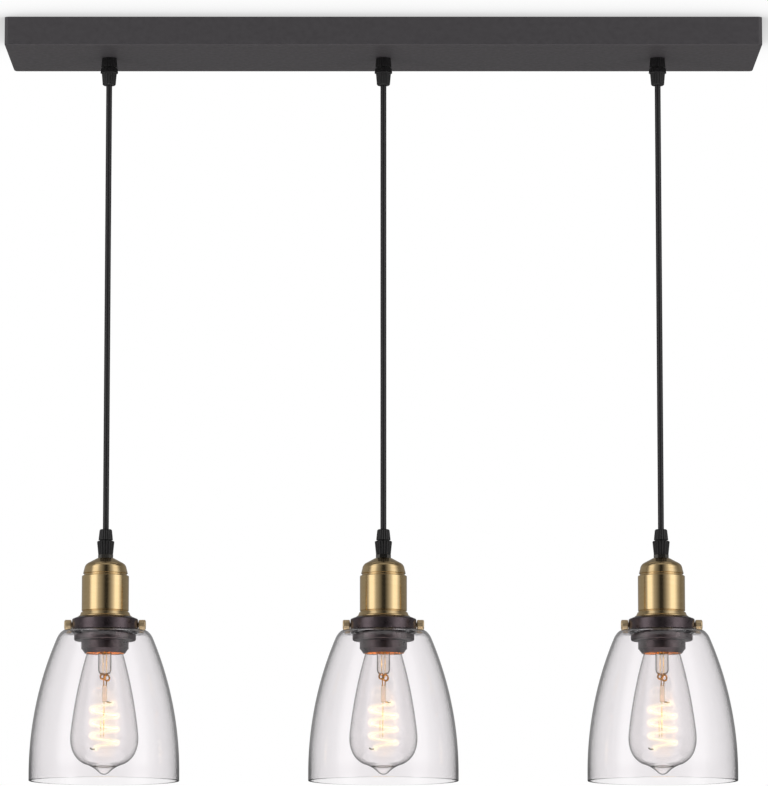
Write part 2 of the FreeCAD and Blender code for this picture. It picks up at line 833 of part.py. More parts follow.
def holder_slope_inside():
    """Both ends of the holder's sloping roof as the glass meets it, foot first."""
    outline = shell_outline(holder_corners(), size["holder_wall"])
    return outline[7][:2], outline[6][:2]


def shade_holder(name, x):
    """A shallow cup over the shade's neck, clamped between the socket and the ring."""
    body = new_body(f"shade_holder_{name}", x, seat_level)
    rim, wall = size["holder_radius"], size["holder_wall"]
    revolve(body, shell_outline(holder_corners(), wall))
    hole = body.newObject("PartDesign::SubtractiveCylinder", "SideScrewHoles")
    reach = rim + wall
    cut_side_holes(hole, -reach, reach * 2, "x")
    rear = body.newObject("PartDesign::SubtractiveCylinder", "RearScrewHole")
    cut_side_holes(rear, size["shade_neck_radius"], reach - size["shade_neck_radius"], "y")
    keep(f"shade_holder_{name}", body)


def cut_side_holes(cylinder, start, length, axis):
    """A round cut along X or Y at the thumb screws' level."""
    cylinder.setExpression("Radius", (size["thumb_shank_radius"] + size["thumb_fit"]).text)
    cylinder.setExpression("Height", as_size(length).text)
    spin = FreeCAD.Vector(0, 1, 0) if axis == "x" else FreeCAD.Vector(-1, 0, 0)
    cylinder.Placement = FreeCAD.Placement(FreeCAD.Vector(0, 0, 0), FreeCAD.Rotation(spin, QUARTER_TURN))
    cylinder.setExpression(f"Placement.Base.{axis}", as_size(start).text)
    cylinder.setExpression("Placement.Base.z", (-size["thumb_drop"]).text)


def thumb_screws(name, x):
    """Brass screws through the holder's side, their tips against the shade's neck."""
    tip = size["shade_neck_radius"] + size["thumb_tip_gap"]
    skirt = size["holder_radius"] + size["thumb_fit"]
    neck_end = skirt + size["thumb_neck_length"]
    head_end = neck_end + size["thumb_head_length"]
    for place, angle in THUMB_ANGLES.items():
        label = f"thumb_screw_{name}_{place}"
        body = new_body(label, x, seat_level - size["thumb_drop"])
        slant = math.radians(angle)
        outward = FreeCAD.Vector(round(math.cos(slant), 9), round(math.sin(slant), 9), 0)
        body.Placement.Rotation = FreeCAD.Rotation(FreeCAD.Vector(0, 0, 1), outward)
        shank, neck, head = size["thumb_shank_radius"], size["thumb_neck_radius"], size["thumb_head_radius"]
        edge = size["thumb_chamfer"]
        revolve(body, [
            (0, tip), (shank, tip), (shank, skirt), (neck, skirt), (neck, neck_end),
            (head - edge, neck_end), (head, neck_end + edge), (head, head_end - edge),
            (head - edge, head_end), (0, head_end),
        ])
        keep(label, body)


def retaining_ring(name, x):
    """A ring screwed up the socket's barrel: a flange, a plain side and a tapered lip."""
    body = new_body(f"retaining_ring_{name}", x, seat_level)
    side, flange = size["ring_radius"], size["ring_flange_radius"]
    thread = size["barrel_radius"]
    top = -size["holder_wall"]
    flange_top = -size["ring_flange_drop"]
    flange_foot = flange_top - size["ring_flange_height"]
    lip_top = -size["barrel_drop"] - size["fit_clearance"]
    foot = lip_top - size["ring_lip_height"]
    taper_top = foot + size["ring_taper_height"]
    edge = size["ring_flange_round"]
    revolve(body, [
        (size["ring_lip_radius"], foot), (size["ring_mouth_radius"], foot),
        (side - size["ring_taper_step"], taper_top), (side, taper_top),
        (side, flange_foot - size["ring_flange_slope"]), (flange - edge, flange_foot, edge),
        (flange, flange_foot + edge),
        (flange, flange_top), (side, flange_top), (side, top), (thread, top), (thread, lip_top),
        (size["ring_lip_radius"], lip_top),
    ])
    keep(f"retaining_ring_{name}", body)


shoulder_level = -(size["holder_height"] + size["shade_gap"])
rim_level = shoulder_level - size["shade_height"]


def glass_shade(name, x):
    """A clear bell: neck inside the holder, rounded shoulder, long curved side and plain rim."""
    body = new_body(f"glass_shade_{name}", x, seat_level)
    neck, shoulder = size["shade_neck_radius"], size["shade_shoulder_radius"]
    turn, inner_turn = size["shade_shoulder_round"], size["shade_neck_round"]
    slope = math.radians(45)
    knee_radius = shoulder + turn * round(math.sin(slope), 6)
    knee_level = shoulder_level - turn * round(1 - math.cos(slope), 6)
    haunch, haunch_level = size["shade_haunch_radius"], shoulder_level - size["shade_haunch_drop"]
    wide, band_level = size["shade_radius"], rim_level + size["shade_rim_band"]
    spread, fall = wide - haunch, haunch_level - band_level
    side_arc = (spread * spread + fall * fall) / (spread * 2)
    haunch_slant = math.degrees(math.asin(fall.number / side_arc.number))
    foot, roof = holder_slope_inside()
    neck_top = foot[1] + (roof[1] - foot[1]) * ((foot[0] - neck) / (foot[0] - roof[0]))
    revolve(body, shell_outline([
        (wide, rim_level, 0),
        (wide, band_level, 0, side_arc),
        (haunch, haunch_level, haunch_slant, size["shade_haunch_round"]),
        (knee_radius, knee_level, 45, turn),
        (shoulder, shoulder_level, 90),
        (neck + inner_turn, shoulder_level, 90, -inner_turn),
        (neck, shoulder_level + inner_turn, 0),
        (neck, neck_top, 0),
    ], size["shade_wall"]))
    keep(f"glass_shade_{name}", body)


bulb_top = -(size["contact_seat"] + size["contact_thickness"] + size["bulb_gap"])
bulb_foot = bulb_top - size["bulb_length"]
base_foot = bulb_top - size["base_height"]


def bulb(name, x):
    """A screw-base lamp: metal base, pear-shaped glass and the stem with its spiral filament."""
    base = new_body(f"bulb_base_{name}", x, seat_level)
    outside, inside = size["base_radius"], size["base_radius"] - size["base_wall"]
    tip, cone_level = size["base_tip_radius"], bulb_top - size["base_cone_drop"]
    revolve(base, [
        (inside, base_foot), (outside, base_foot), (outside, bulb_top - size["base_side_drop"]),
        (outside - size["base_cone_inset"], cone_level), (tip, bulb_top - size["base_tip_height"]),
        (tip, bulb_top - size["base_tip_chamfer"]), (size["base_tip_flat"], bulb_top), (0, bulb_top),
        (0, bulb_top - size["base_plug_height"]), (tip, cone_level),
        (inside, bulb_top - size["base_inside_drop"]),
    ])
    keep(f"bulb_base_{name}", base)

    glass = new_body(f"bulb_glass_{name}", x, seat_level)
    widest, widest_level = size["glass_radius"], bulb_foot + size["glass_widest_height"]
    bowl, bowl_level = size["glass_bowl_radius"], bulb_foot + size["glass_bowl_height"]
    belly, belly_level = size["glass_belly_radius"], bulb_foot + size["glass_belly_height"]
    lower_arc = widest_arc(widest - bowl, widest_level - bowl_level)
    upper_arc = widest_arc(widest - belly, belly_level - widest_level)
    neck = size["base_radius"] - size["base_wall"]
    revolve(glass, shell_outline([
        (0, bulb_foot, -90, "dome"),
        (size["glass_tip_radius"], bulb_foot + size["glass_tip_height"], -35, -size["glass_tip_round"]),
        (size["glass_foot_radius"], bulb_foot + size["glass_foot_height"], -64, size["glass_foot_round"]),
        (bowl, bowl_level, -33, lower_arc),
        (widest, widest_level, 0, upper_arc),
        (belly, belly_level, 8, size["glass_side_round"]),
        (size["glass_shoulder_radius"], bulb_foot + size["glass_shoulder_height"], 17),
        (size["glass_throat_radius"], bulb_foot + size["glass_throat_height"], 17, size["glass_throat_round"]),
        (neck, base_foot - size["glass_throat_gap"], 45),
        (neck, base_foot + size["glass_seal_height"], 0),
    ], size["glass_wall"]))
    keep(f"bulb_glass_{name}", glass)
    bulb_filament(name, x)


def helix_point(turns, radius, pitch, top):
    angle = math.radians(turns * FULL_TURN)
    place = FreeCAD.Vector(radius * math.cos(angle), radius * math.sin(angle), top - pitch * turns)
    along = FreeCAD.Vector(
        -radius * math.sin(angle), radius * math.cos(angle), -pitch / (2 * math.pi)
    ).normalize()
    return place, along


def arc_from(start, along, end):
    """The arc that leaves start in a given direction and reaches end."""
    chord = end - start
    angle = along.getAngle(chord)
    unit = FreeCAD.Vector(chord).normalize()
    bow = along - unit * along.dot(unit)
    bow.normalize()
    middle = (start + end) * HALF + bow * (chord.Length / 2 * math.tan(angle / 2))
    return Part.Arc(start, middle, end).toShape()


def biarc(start, start_along, end, end_along):
    """Two arcs that join two places and keep their directions."""
    span = end - start
    both = start_along + end_along
    bend = 2 * (1 - start_along.dot(end_along))
    reach = (-span.dot(both) + math.sqrt(span.dot(both) ** 2 + bend * span.Length ** 2)) / bend
    joint = (start + start_along * reach + end - end_along * reach) * HALF
    joint_along = ((end - end_along * reach) - (start + start_along * reach)).normalize()
    return [arc_from(start, start_along, joint), arc_from(joint, joint_along, end)]


def spiral_path(radius, pitch, top, turns):
    """A helix of quarter turns, each of two arcs."""
    edges = []
    steps = round(turns * 4)
    for step in range(steps):
        start, start_along = helix_point(step / 4, radius, pitch, top)
        end, end_along = helix_point((step + 1) / 4, radius, pitch, top)
        edges += biarc(start, start_along, end, end_along)
    return Part.Wire(edges)


def upright(radius, top, foot):
    return Part.makeCylinder(radius, top - foot, FreeCAD.Vector(0, 0, foot))


def bulb_filament(name, x):
    """A glass stem, its rod and wires, and the spiral that glows, made as one sealed piece."""
    top = base_foot.number + SIZES["glass_seal_height"]
    stem, rod, wire = SIZES["stem_radius"], SIZES["stem_rod_radius"], SIZES["wire_radius"]
    stem_foot = top - SIZES["stem_length"]
    rod_foot = stem_foot - SIZES["stem_rod_length"]
    radius, pitch, turns = SIZES["spiral_radius"], SIZES["spiral_pitch"], SIZES["spiral_turns"]
    spiral_top = rod_foot - wire
    spiral_foot = spiral_top - pitch * turns
    seal, overlap = SIZES["base_radius"] - SIZES["base_wall"], SIZES["overlap"]
    pieces = [
        upright(seal, top + SIZES["stem_flange"], top),
        upright(stem, top + overlap, stem_foot),
        upright(rod, stem_foot + overlap, rod_foot - overlap),
        upright(wire, rod_foot, spiral_foot - overlap),
        Part.makeCylinder(wire, radius, FreeCAD.Vector(0, 0, spiral_top), FreeCAD.Vector(1, 0, 0)),
        Part.makeCylinder(wire, radius, FreeCAD.Vector(0, 0, spiral_foot), FreeCAD.Vector(1, 0, 0)),
        sweep_round(spiral_path(radius, pitch, spiral_top, turns), SIZES["spiral_thickness"] / 2),
    ]
    joined = pieces[0].multiFuse(pieces[1:])
    feature = doc.addObject("Part::Feature", f"bulb_filament_{name}")
    feature.Label = f"bulb_filament_{name}"
    feature.Shape = joined
    lamp_x = SIZES["lamp_spacing"] * SIDES[name]
    feature.Placement = FreeCAD.Placement(FreeCAD.Vector(lamp_x, 0, seat_level.number), FreeCAD.Rotation())
    keep(f"bulb_filament_{name}", feature)


def spiral_gap():
    """The least gap between the coil's turns, measured on its own line."""
    wire = spiral_path(SIZES["spiral_radius"], SIZES["spiral_pitch"], 0, SIZES["spiral_turns"])
    points = []
    lengths = []
    travelled = 0
    for edge in wire.Edges:
        for point in edge.discretize(9)[1:]:
            if points:
                travelled += (point - points[-1]).Length
            points.append(point)
            lengths.append(travelled)
    turn = travelled / SIZES["spiral_turns"]
    apart = min(
        (points[first] - points[second]).Length
        for first in range(len(points)) for second in range(first)
        if lengths[first] - lengths[second] > turn * HALF
    )
    return apart - SIZES["spiral_thickness"]


def check_and_write():
    doc.recompute()
    for thing in doc.Objects:
        if {"Invalid", "Error"} & set(thing.State):
            raise RuntimeError(f"{thing.Label} failed: {thing.State}")
    os.makedirs("parts", exist_ok=True)
    for label, thing in nodes.items():
        shape = thing.Shape
        if shape.isNull() or not shape.isValid() or not shape.Solids:
            raise RuntimeError(f"{label} has no sound solid")
    for label, thing in nodes.items():
        thing.Shape.exportStep(f"parts/{label}.step")
    print(f"{len(nodes)} nodes, {sum(len(thing.Shape.Solids) for thing in nodes.values())} solids")
    cord_length = (cord_mouth - head_mouth).number
    print(f"cord from mouth to mouth {cord_length:.1f} mm, rim at {(seat_level + rim_level).number:.1f} mm")
    print(f"least gap between the spiral's turns {spiral_gap():.2f} mm")


canopy_pan()
mounting_bar()
end_screws()
top_grip_bodies()
top_clamp_nuts()
top_lock_nuts()
cord_tails()
terminal_block()
lead_wires()
for side_name, side_sign in SIDES.items():
    lamp_place = size["lamp_spacing"] * side_sign
    cord_pieces(side_name, lamp_place)
    head_grip(side_name, lamp_place)
    socket_cover(side_name, lamp_place)
    socket(side_name, lamp_place)
    shade_holder(side_name, lamp_place)
    thumb_screws(side_name, lamp_place)
    retaining_ring(side_name, lamp_place)
    glass_shade(side_name, lamp_place)
    bulb(side_name, lamp_place)
check_and_write()
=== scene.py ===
import json
import math

import bmesh
import bpy
from mathutils import Matrix, Vector

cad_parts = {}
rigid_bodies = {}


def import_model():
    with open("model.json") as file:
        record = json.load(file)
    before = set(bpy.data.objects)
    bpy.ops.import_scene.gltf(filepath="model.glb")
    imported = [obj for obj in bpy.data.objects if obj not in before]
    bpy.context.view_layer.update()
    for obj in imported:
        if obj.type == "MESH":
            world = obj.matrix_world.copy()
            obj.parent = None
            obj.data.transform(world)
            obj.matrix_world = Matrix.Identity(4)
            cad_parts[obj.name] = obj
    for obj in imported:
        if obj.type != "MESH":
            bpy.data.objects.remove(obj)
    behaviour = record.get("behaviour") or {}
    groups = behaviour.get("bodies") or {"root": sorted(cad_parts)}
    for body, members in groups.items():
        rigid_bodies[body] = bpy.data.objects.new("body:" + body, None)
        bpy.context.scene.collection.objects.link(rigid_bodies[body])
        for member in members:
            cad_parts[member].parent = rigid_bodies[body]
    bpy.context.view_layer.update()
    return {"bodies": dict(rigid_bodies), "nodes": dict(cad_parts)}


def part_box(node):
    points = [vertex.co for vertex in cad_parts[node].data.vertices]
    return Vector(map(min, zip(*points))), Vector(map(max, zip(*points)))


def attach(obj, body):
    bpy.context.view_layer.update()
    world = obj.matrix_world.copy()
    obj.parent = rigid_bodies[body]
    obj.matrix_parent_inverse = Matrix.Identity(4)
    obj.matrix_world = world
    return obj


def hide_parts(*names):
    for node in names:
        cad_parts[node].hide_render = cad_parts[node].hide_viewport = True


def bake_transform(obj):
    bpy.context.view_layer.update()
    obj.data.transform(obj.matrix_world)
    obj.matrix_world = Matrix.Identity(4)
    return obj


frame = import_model()

# Linear island pendant: three glass lamps on cords under one long dark canopy.
# Outlines are in millimetres. A lamp piece is drawn about its seat, where the brass cover
# meets the shade holder, and a canopy grip about the mouth that its cord leaves by.

MM = 0.001
SIDES = ("left", "centre", "right")
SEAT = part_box("socket_cover_centre")[0].z
CORD_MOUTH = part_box("canopy_clamp_nuts")[0].z
HEAD_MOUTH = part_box("head_clamp_nut_centre")[1].z
SWING_LEVEL = CORD_MOUTH - 0.1 * MM
SWAY_LEVEL = SWING_LEVEL - 13 * MM
CORD_RADIUS = 2.8 * MM

# The egg of lit air round each coil: its middle's height about the seat, and its two radii

HALO_MIDDLE = -99
HALO_RADIUS = 19
HALO_REACH = 42


def lamp_x(side):
    low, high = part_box(f"socket_cover_{side}")
    return (low.x + high.x) / 2


# Camera: below the ceiling and well in front, looking a little up

CAMERA_PLACE = (0, -4.5727, -0.9632)
CAMERA_RISE = 7.671
CAMERA_TURN = -0.007
CAMERA_LENS = 224.77


def add_camera():
    camera = bpy.data.objects.new("camera", bpy.data.cameras.new("camera"))
    bpy.context.scene.collection.objects.link(camera)
    camera.location = CAMERA_PLACE
    camera.rotation_euler = (math.radians(90 + CAMERA_RISE), 0, math.radians(CAMERA_TURN))
    camera.data.lens = CAMERA_LENS
    bpy.context.scene.camera = camera


add_camera()


# Shapes

def add_piece(name, mesh, place, body, material, slot, *nodes):
    """One object on its body, in place of its CAD nodes."""
    piece = bpy.data.objects.new(name, mesh)
    bpy.context.scene.collection.objects.link(piece)
    piece.location = place
    if not mesh.materials:
        mesh.materials.append(material)
    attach(piece, body)
    if nodes:
        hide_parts(*nodes)
    return piece


def soften_shading(piece):
    """Flat faces keep their own direction next to narrow rounded edges."""
    normals = piece.modifiers.new("normals", "WEIGHTED_NORMAL")
    normals.keep_sharp = True
    normals.weight = 90
    return piece


def arc_points(start, end, radius):
    """The points of an arc after its start. It bows to the right of its chord where radius is positive."""
    chord = end - start
    right = Vector((chord.y, -chord.x)).normalized()
    rise = math.sqrt(max(radius * radius - chord.length_squared / 4, 0))
    centre = (start + end) / 2 - right * math.copysign(rise, radius)
    first, last = start - centre, end - centre
    sweep = last.angle_signed(first)
    steps = max(2, math.ceil(abs(sweep) / math.radians(5)), math.ceil(abs(sweep * radius) / 3))
    turned = []
    for step in range(1, steps):
        turn = Matrix.Rotation(sweep * step / steps, 2)
        turned.append(centre + turn @ first)
    return turned + [end]


def outline_points(corners):
    """An outline's points. A corner is (radius, height), or (radius, height, arc) where an arc leads on."""
    points = []
    for index, corner in enumerate(corners):
        here = Vector(corner[:2])
        points.append(here)
        if len(corner) > 2:
            following = Vector(corners[(index + 1) % len(corners)][:2])
            points += arc_points(here, following, corner[2])[:-1]
    return points


def round_corners(points, radius):
    """Sharp corners away from the axis become small arcs."""
    rounded = []
    for index, corner in enumerate(points):
        before, after = points[index - 1], points[(index + 1) % len(points)]
        back, ahead = before - corner, after - corner
        if corner.x < 1e-6 or min(back.length, ahead.length) < 1e-6:
            rounded.append(corner)
            continue
        turn = math.pi - back.angle(ahead)
        if turn < math.radians(20):
            rounded.append(corner)
            continue
        reach = min(radius * math.tan(turn / 2), back.length * 0.45, ahead.length * 0.45)
        first, last = corner + back.normalized() * reach, corner + ahead.normalized() * reach
        for share in (0, 0.25, 0.5, 0.75, 1):
            rounded.append(first.lerp(corner, share).lerp(corner.lerp(last, share), share))
    return rounded


def shell(corners, wall):
    """A wall's section from its outer outline, listed upwards as (radius, height, normal angle, arc)."""
    outer, inner = [], []
    for radius, height, angle, *_ in corners:
        slant = math.radians(angle)
        outer.append((radius, height))
        inner.append((max(radius - wall * math.cos(slant), 0), height - wall * math.sin(slant)))
    for index, corner in enumerate(corners[:-1]):
        if len(corner) < 4:
            continue
        if corner[3] == "dome":
            outer_arc = dome_radius(outer[index], outer[index + 1])
            inner_arc = dome_radius(inner[index], inner[index + 1])
        else:
            outer_arc, inner_arc = corner[3], corner[3] - wall
        outer[index] = (*outer[index], outer_arc)
        inner[index + 1] = (*inner[index + 1][:2], -inner_arc)
    return outer + inner[::-1]


def dome_radius(pole, end):
    """The radius of the dome that starts square to the axis at its pole."""
    rise = end[1] - pole[1]
    return (end[0] ** 2 + rise ** 2) / (rise * 2)


def lathe(name, corners, edge=0.3, segments=96, shape=None):
    """A turned mesh. shape(radius, angle, height) gives the radius where the piece isn't plain."""
    points = round_corners(outline_points(corners), edge)
    mesh = bpy.data.meshes.new(name)
    work = bmesh.new()
    rings = []
    for point in points:
        if point.x < 1e-6:
            rings.append([work.verts.new((0, 0, point.y * MM))] * segments)
            continue
        ring = []
        for step in range(segments):
            angle = 2 * math.pi * step / segments
            radius = shape(point.x, angle, point.y) if shape else point.x
            ring.append(work.verts.new((
                radius * math.cos(angle) * MM, radius * math.sin(angle) * MM, point.y * MM,
            )))
        rings.append(ring)
    for ring, other in zip(rings, rings[1:] + rings[:1]):
        for step in range(segments):
            following = (step + 1) % segments
            loop = [ring[step], ring[following], other[following], other[step]]
            corners_of_face = list(dict.fromkeys(loop))
            if len(corners_of_face) > 2:
                work.faces.new(corners_of_face)
    bmesh.ops.recalc_face_normals(work, faces=work.faces)
    for face in work.faces:
        face.smooth = True
    work.to_mesh(mesh)
    work.free()
    return mesh


def spline(name, points, radius=0.0, steps=12):
    """A NURBS curve through its control points, in metres, with a round section if it has a radius."""
    curve = bpy.data.curves.new(name, "CURVE")
    curve.dimensions = "3D"
    curve.resolution_u = steps
    curve.bevel_depth = radius
    curve.bevel_resolution = 6
    curve.use_fill_caps = True
    line = curve.splines.new("NURBS")
    line.points.add(len(points) - 1)
    for control, place in zip(line.points, points):
        control.co = (*place, 1)
    line.order_u = 3
    line.use_endpoint_u = True
    return curve


def curve_mesh(curve):
    """The mesh that a curve makes: its bare line where it has no section."""
    holder = bpy.data.objects.new(curve.name, curve)
    mesh = bpy.data.meshes.new_from_object(holder)
    bpy.data.objects.remove(holder)
    for face in mesh.polygons:
        face.use_smooth = True
    return mesh


def rod_mesh(name, radius, points):
    """A round wire led by points in millimetres."""
    route = [tuple(MM * value for value in point) for point in points]
    return curve_mesh(spline(name, route, radius * MM, 8))


def join_meshes(name, meshes):
    work = bmesh.new()
    for mesh in meshes:
        work.from_mesh(mesh)
    joined = bpy.data.meshes.new(name)
    work.to_mesh(joined)
    work.free()
    return joined


def ribs(count, depth, from_radius):
    """Rounded ribs with narrow valleys between them, on what lies outside a radius."""
    def shape(radius, angle, _height):
        if radius < from_radius:
            return radius
        return radius - depth * (1 - abs(math.cos(count * angle / 2)) ** 0.7)
    return shape


# Materials

def new_material(name):
    material = bpy.data.materials.new(name)
    material.use_nodes = True
    return material, material.node_tree, material.node_tree.nodes["Principled BSDF"]


def noise_node(tree, scale, stretch=(1, 1, 1), detail=4.0):
    """Noise over the piece's own coordinates, in features per metre."""
    place = tree.nodes.new("ShaderNodeTexCoord")
    mapping = tree.nodes.new("ShaderNodeMapping")
    mapping.inputs["Scale"].default_value = stretch
    noise = tree.nodes.new("ShaderNodeTexNoise")
    noise.inputs["Scale"].default_value = scale
    noise.inputs["Detail"].default_value = detail
    tree.links.new(place.outputs["Object"], mapping.inputs["Vector"])
    tree.links.new(mapping.outputs["Vector"], noise.inputs["Vector"])
    return noise


def between(tree, factor, low, high):
    """A number that follows a noise from low to high."""
    node = tree.nodes.new("ShaderNodeMapRange")
    node.inputs["From Min"].default_value = 0.3
    node.inputs["From Max"].default_value = 0.7
    node.inputs["To Min"].default_value = low
    node.inputs["To Max"].default_value = high
    tree.links.new(factor, node.inputs["Value"])
    return node.outputs["Result"]


def mix_colours(tree, factor, first, second):
    node = tree.nodes.new("ShaderNodeMix")
    node.data_type = "RGBA"
    node.inputs["A"].default_value = (*first, 1)
    node.inputs["B"].default_value = (*second, 1)
    tree.links.new(factor, node.inputs["Factor"])
    return node.outputs["Result"]


def surface(name, colours, roughness, grain, bump, metallic=0.0, stretch=(1, 1, 1), **settings):
    """Two shades and two roughnesses that follow one noise, over a finer bump."""
    material, tree, shader = new_material(name)
    shader.inputs["Metallic"].default_value = metallic
    for socket, value in settings.items():
        shader.inputs[socket.replace("_", " ")].default_value = value
    coarse = noise_node(tree, grain * 0.25, stretch)
    factor = between(tree, coarse.outputs["Fac"], 0, 1)
    tree.links.new(mix_colours(tree, factor, *colours), shader.inputs["Base Color"])
    tree.links.new(between(tree, coarse.outputs["Fac"], *roughness), shader.inputs["Roughness"])
    fine = noise_node(tree, grain, stretch)
    relief = tree.nodes.new("ShaderNodeBump")
    relief.inputs["Distance"].default_value = bump * MM
    tree.links.new(fine.outputs["Fac"], relief.inputs["Height"])
    tree.links.new(relief.outputs["Normal"], shader.inputs["Normal"])
    return material


def glass(name, tint, waviness, density):
    """Clear glass with a faint waviness, a little grey through its thickness."""
    material, tree, shader = new_material(name)
    shader.inputs["Base Color"].default_value = (*tint, 1)
    shader.inputs["Transmission Weight"].default_value = 1
    shader.inputs["IOR"].default_value = 1.5
    noise = noise_node(tree, 60, detail=1.0)
    tree.links.new(between(tree, noise.outputs["Fac"], 0, 0.01), shader.inputs["Roughness"])
    relief = tree.nodes.new("ShaderNodeBump")
    relief.inputs["Distance"].default_value = waviness * MM
    tree.links.new(noise.outputs["Fac"], relief.inputs["Height"])
    tree.links.new(relief.outputs["Normal"], shader.inputs["Normal"])
    absorption = tree.nodes.new("ShaderNodeVolumeAbsorption")
    absorption.inputs["Color"].default_value = (0.60, 0.58, 0.60, 1)
    absorption.inputs["Density"].default_value = density
    tree.links.new(absorption.outputs["Volume"], tree.nodes["Material Output"].inputs["Volume"])
    return material


def glow(name, colours, strength):
    material, tree, shader = new_material(name)
    noise = noise_node(tree, 900)
    factor = between(tree, noise.outputs["Fac"], 0, 1)
    tree.links.new(mix_colours(tree, factor, *colours), shader.inputs["Emission Color"])
    shader.inputs["Base Color"].default_value = (0.2, 0.15, 0.1, 1)
    shader.inputs["Emission Strength"].default_value = strength
    return material


def lit_air(name, colour, strength, tint, density):
    """The glare in the air at a lit coil: no surface, and inside it a faint light and a faint tint."""
    material, tree, shader = new_material(name)
    shader.inputs["Alpha"].default_value = 0
    shine = tree.nodes.new("ShaderNodeEmission")
    shine.inputs["Color"].default_value = (*colour, 1)
    veil = tree.nodes.new("ShaderNodeVolumeAbsorption")
    veil.inputs["Color"].default_value = (*tint, 1)
    both = tree.nodes.new("ShaderNodeAddShader")
    tree.links.new(shine.outputs["Emission"], both.inputs[0])
    tree.links.new(veil.outputs["Volume"], both.inputs[1])
    tree.links.new(both.outputs["Shader"], tree.nodes["Material Output"].inputs["Volume"])
    return material, tree, (shine.inputs["Strength"], strength), (veil.inputs["Density"], density)


def coil_haze():
    """Close round the wire, a little uneven."""
    material, tree, *parts = lit_air("coil_haze", (1.0, 0.93, 0.60), 27, (1.0, 0.92, 0.74), 25)
    noise = noise_node(tree, 150, detail=1.0)
    for socket, value in parts:
        tree.links.new(between(tree, noise.outputs["Fac"], value * 0.8, value * 1.2), socket)
    return material


def coil_halo():
    """Wider, and strongest in the middle."""
    material, tree, *parts = lit_air("coil_halo", (1.0, 0.86, 0.72), 12, (1.0, 0.78, 0.55), 20)
    place = tree.nodes.new("ShaderNodeTexCoord")
    mapping = tree.nodes.new("ShaderNodeMapping")
    mapping.vector_type = "TEXTURE"
    mapping.inputs["Location"].default_value = (0, 0, HALO_MIDDLE * MM)
    mapping.inputs["Scale"].default_value = (HALO_RADIUS * MM, HALO_RADIUS * MM, HALO_REACH * MM)
    fall = tree.nodes.new("ShaderNodeTexGradient")
    fall.gradient_type = "SPHERICAL"
    tree.links.new(place.outputs["Object"], mapping.inputs["Vector"])
    tree.links.new(mapping.outputs["Vector"], fall.inputs["Vector"])
    for socket, value in parts:
        strength = tree.nodes.new("ShaderNodeMath")
        strength.operation = "MULTIPLY"
        strength.inputs[1].default_value = value
        tree.links.new(fall.outputs["Fac"], strength.inputs[0])
        tree.links.new(strength.outputs["Value"], socket)
    return material


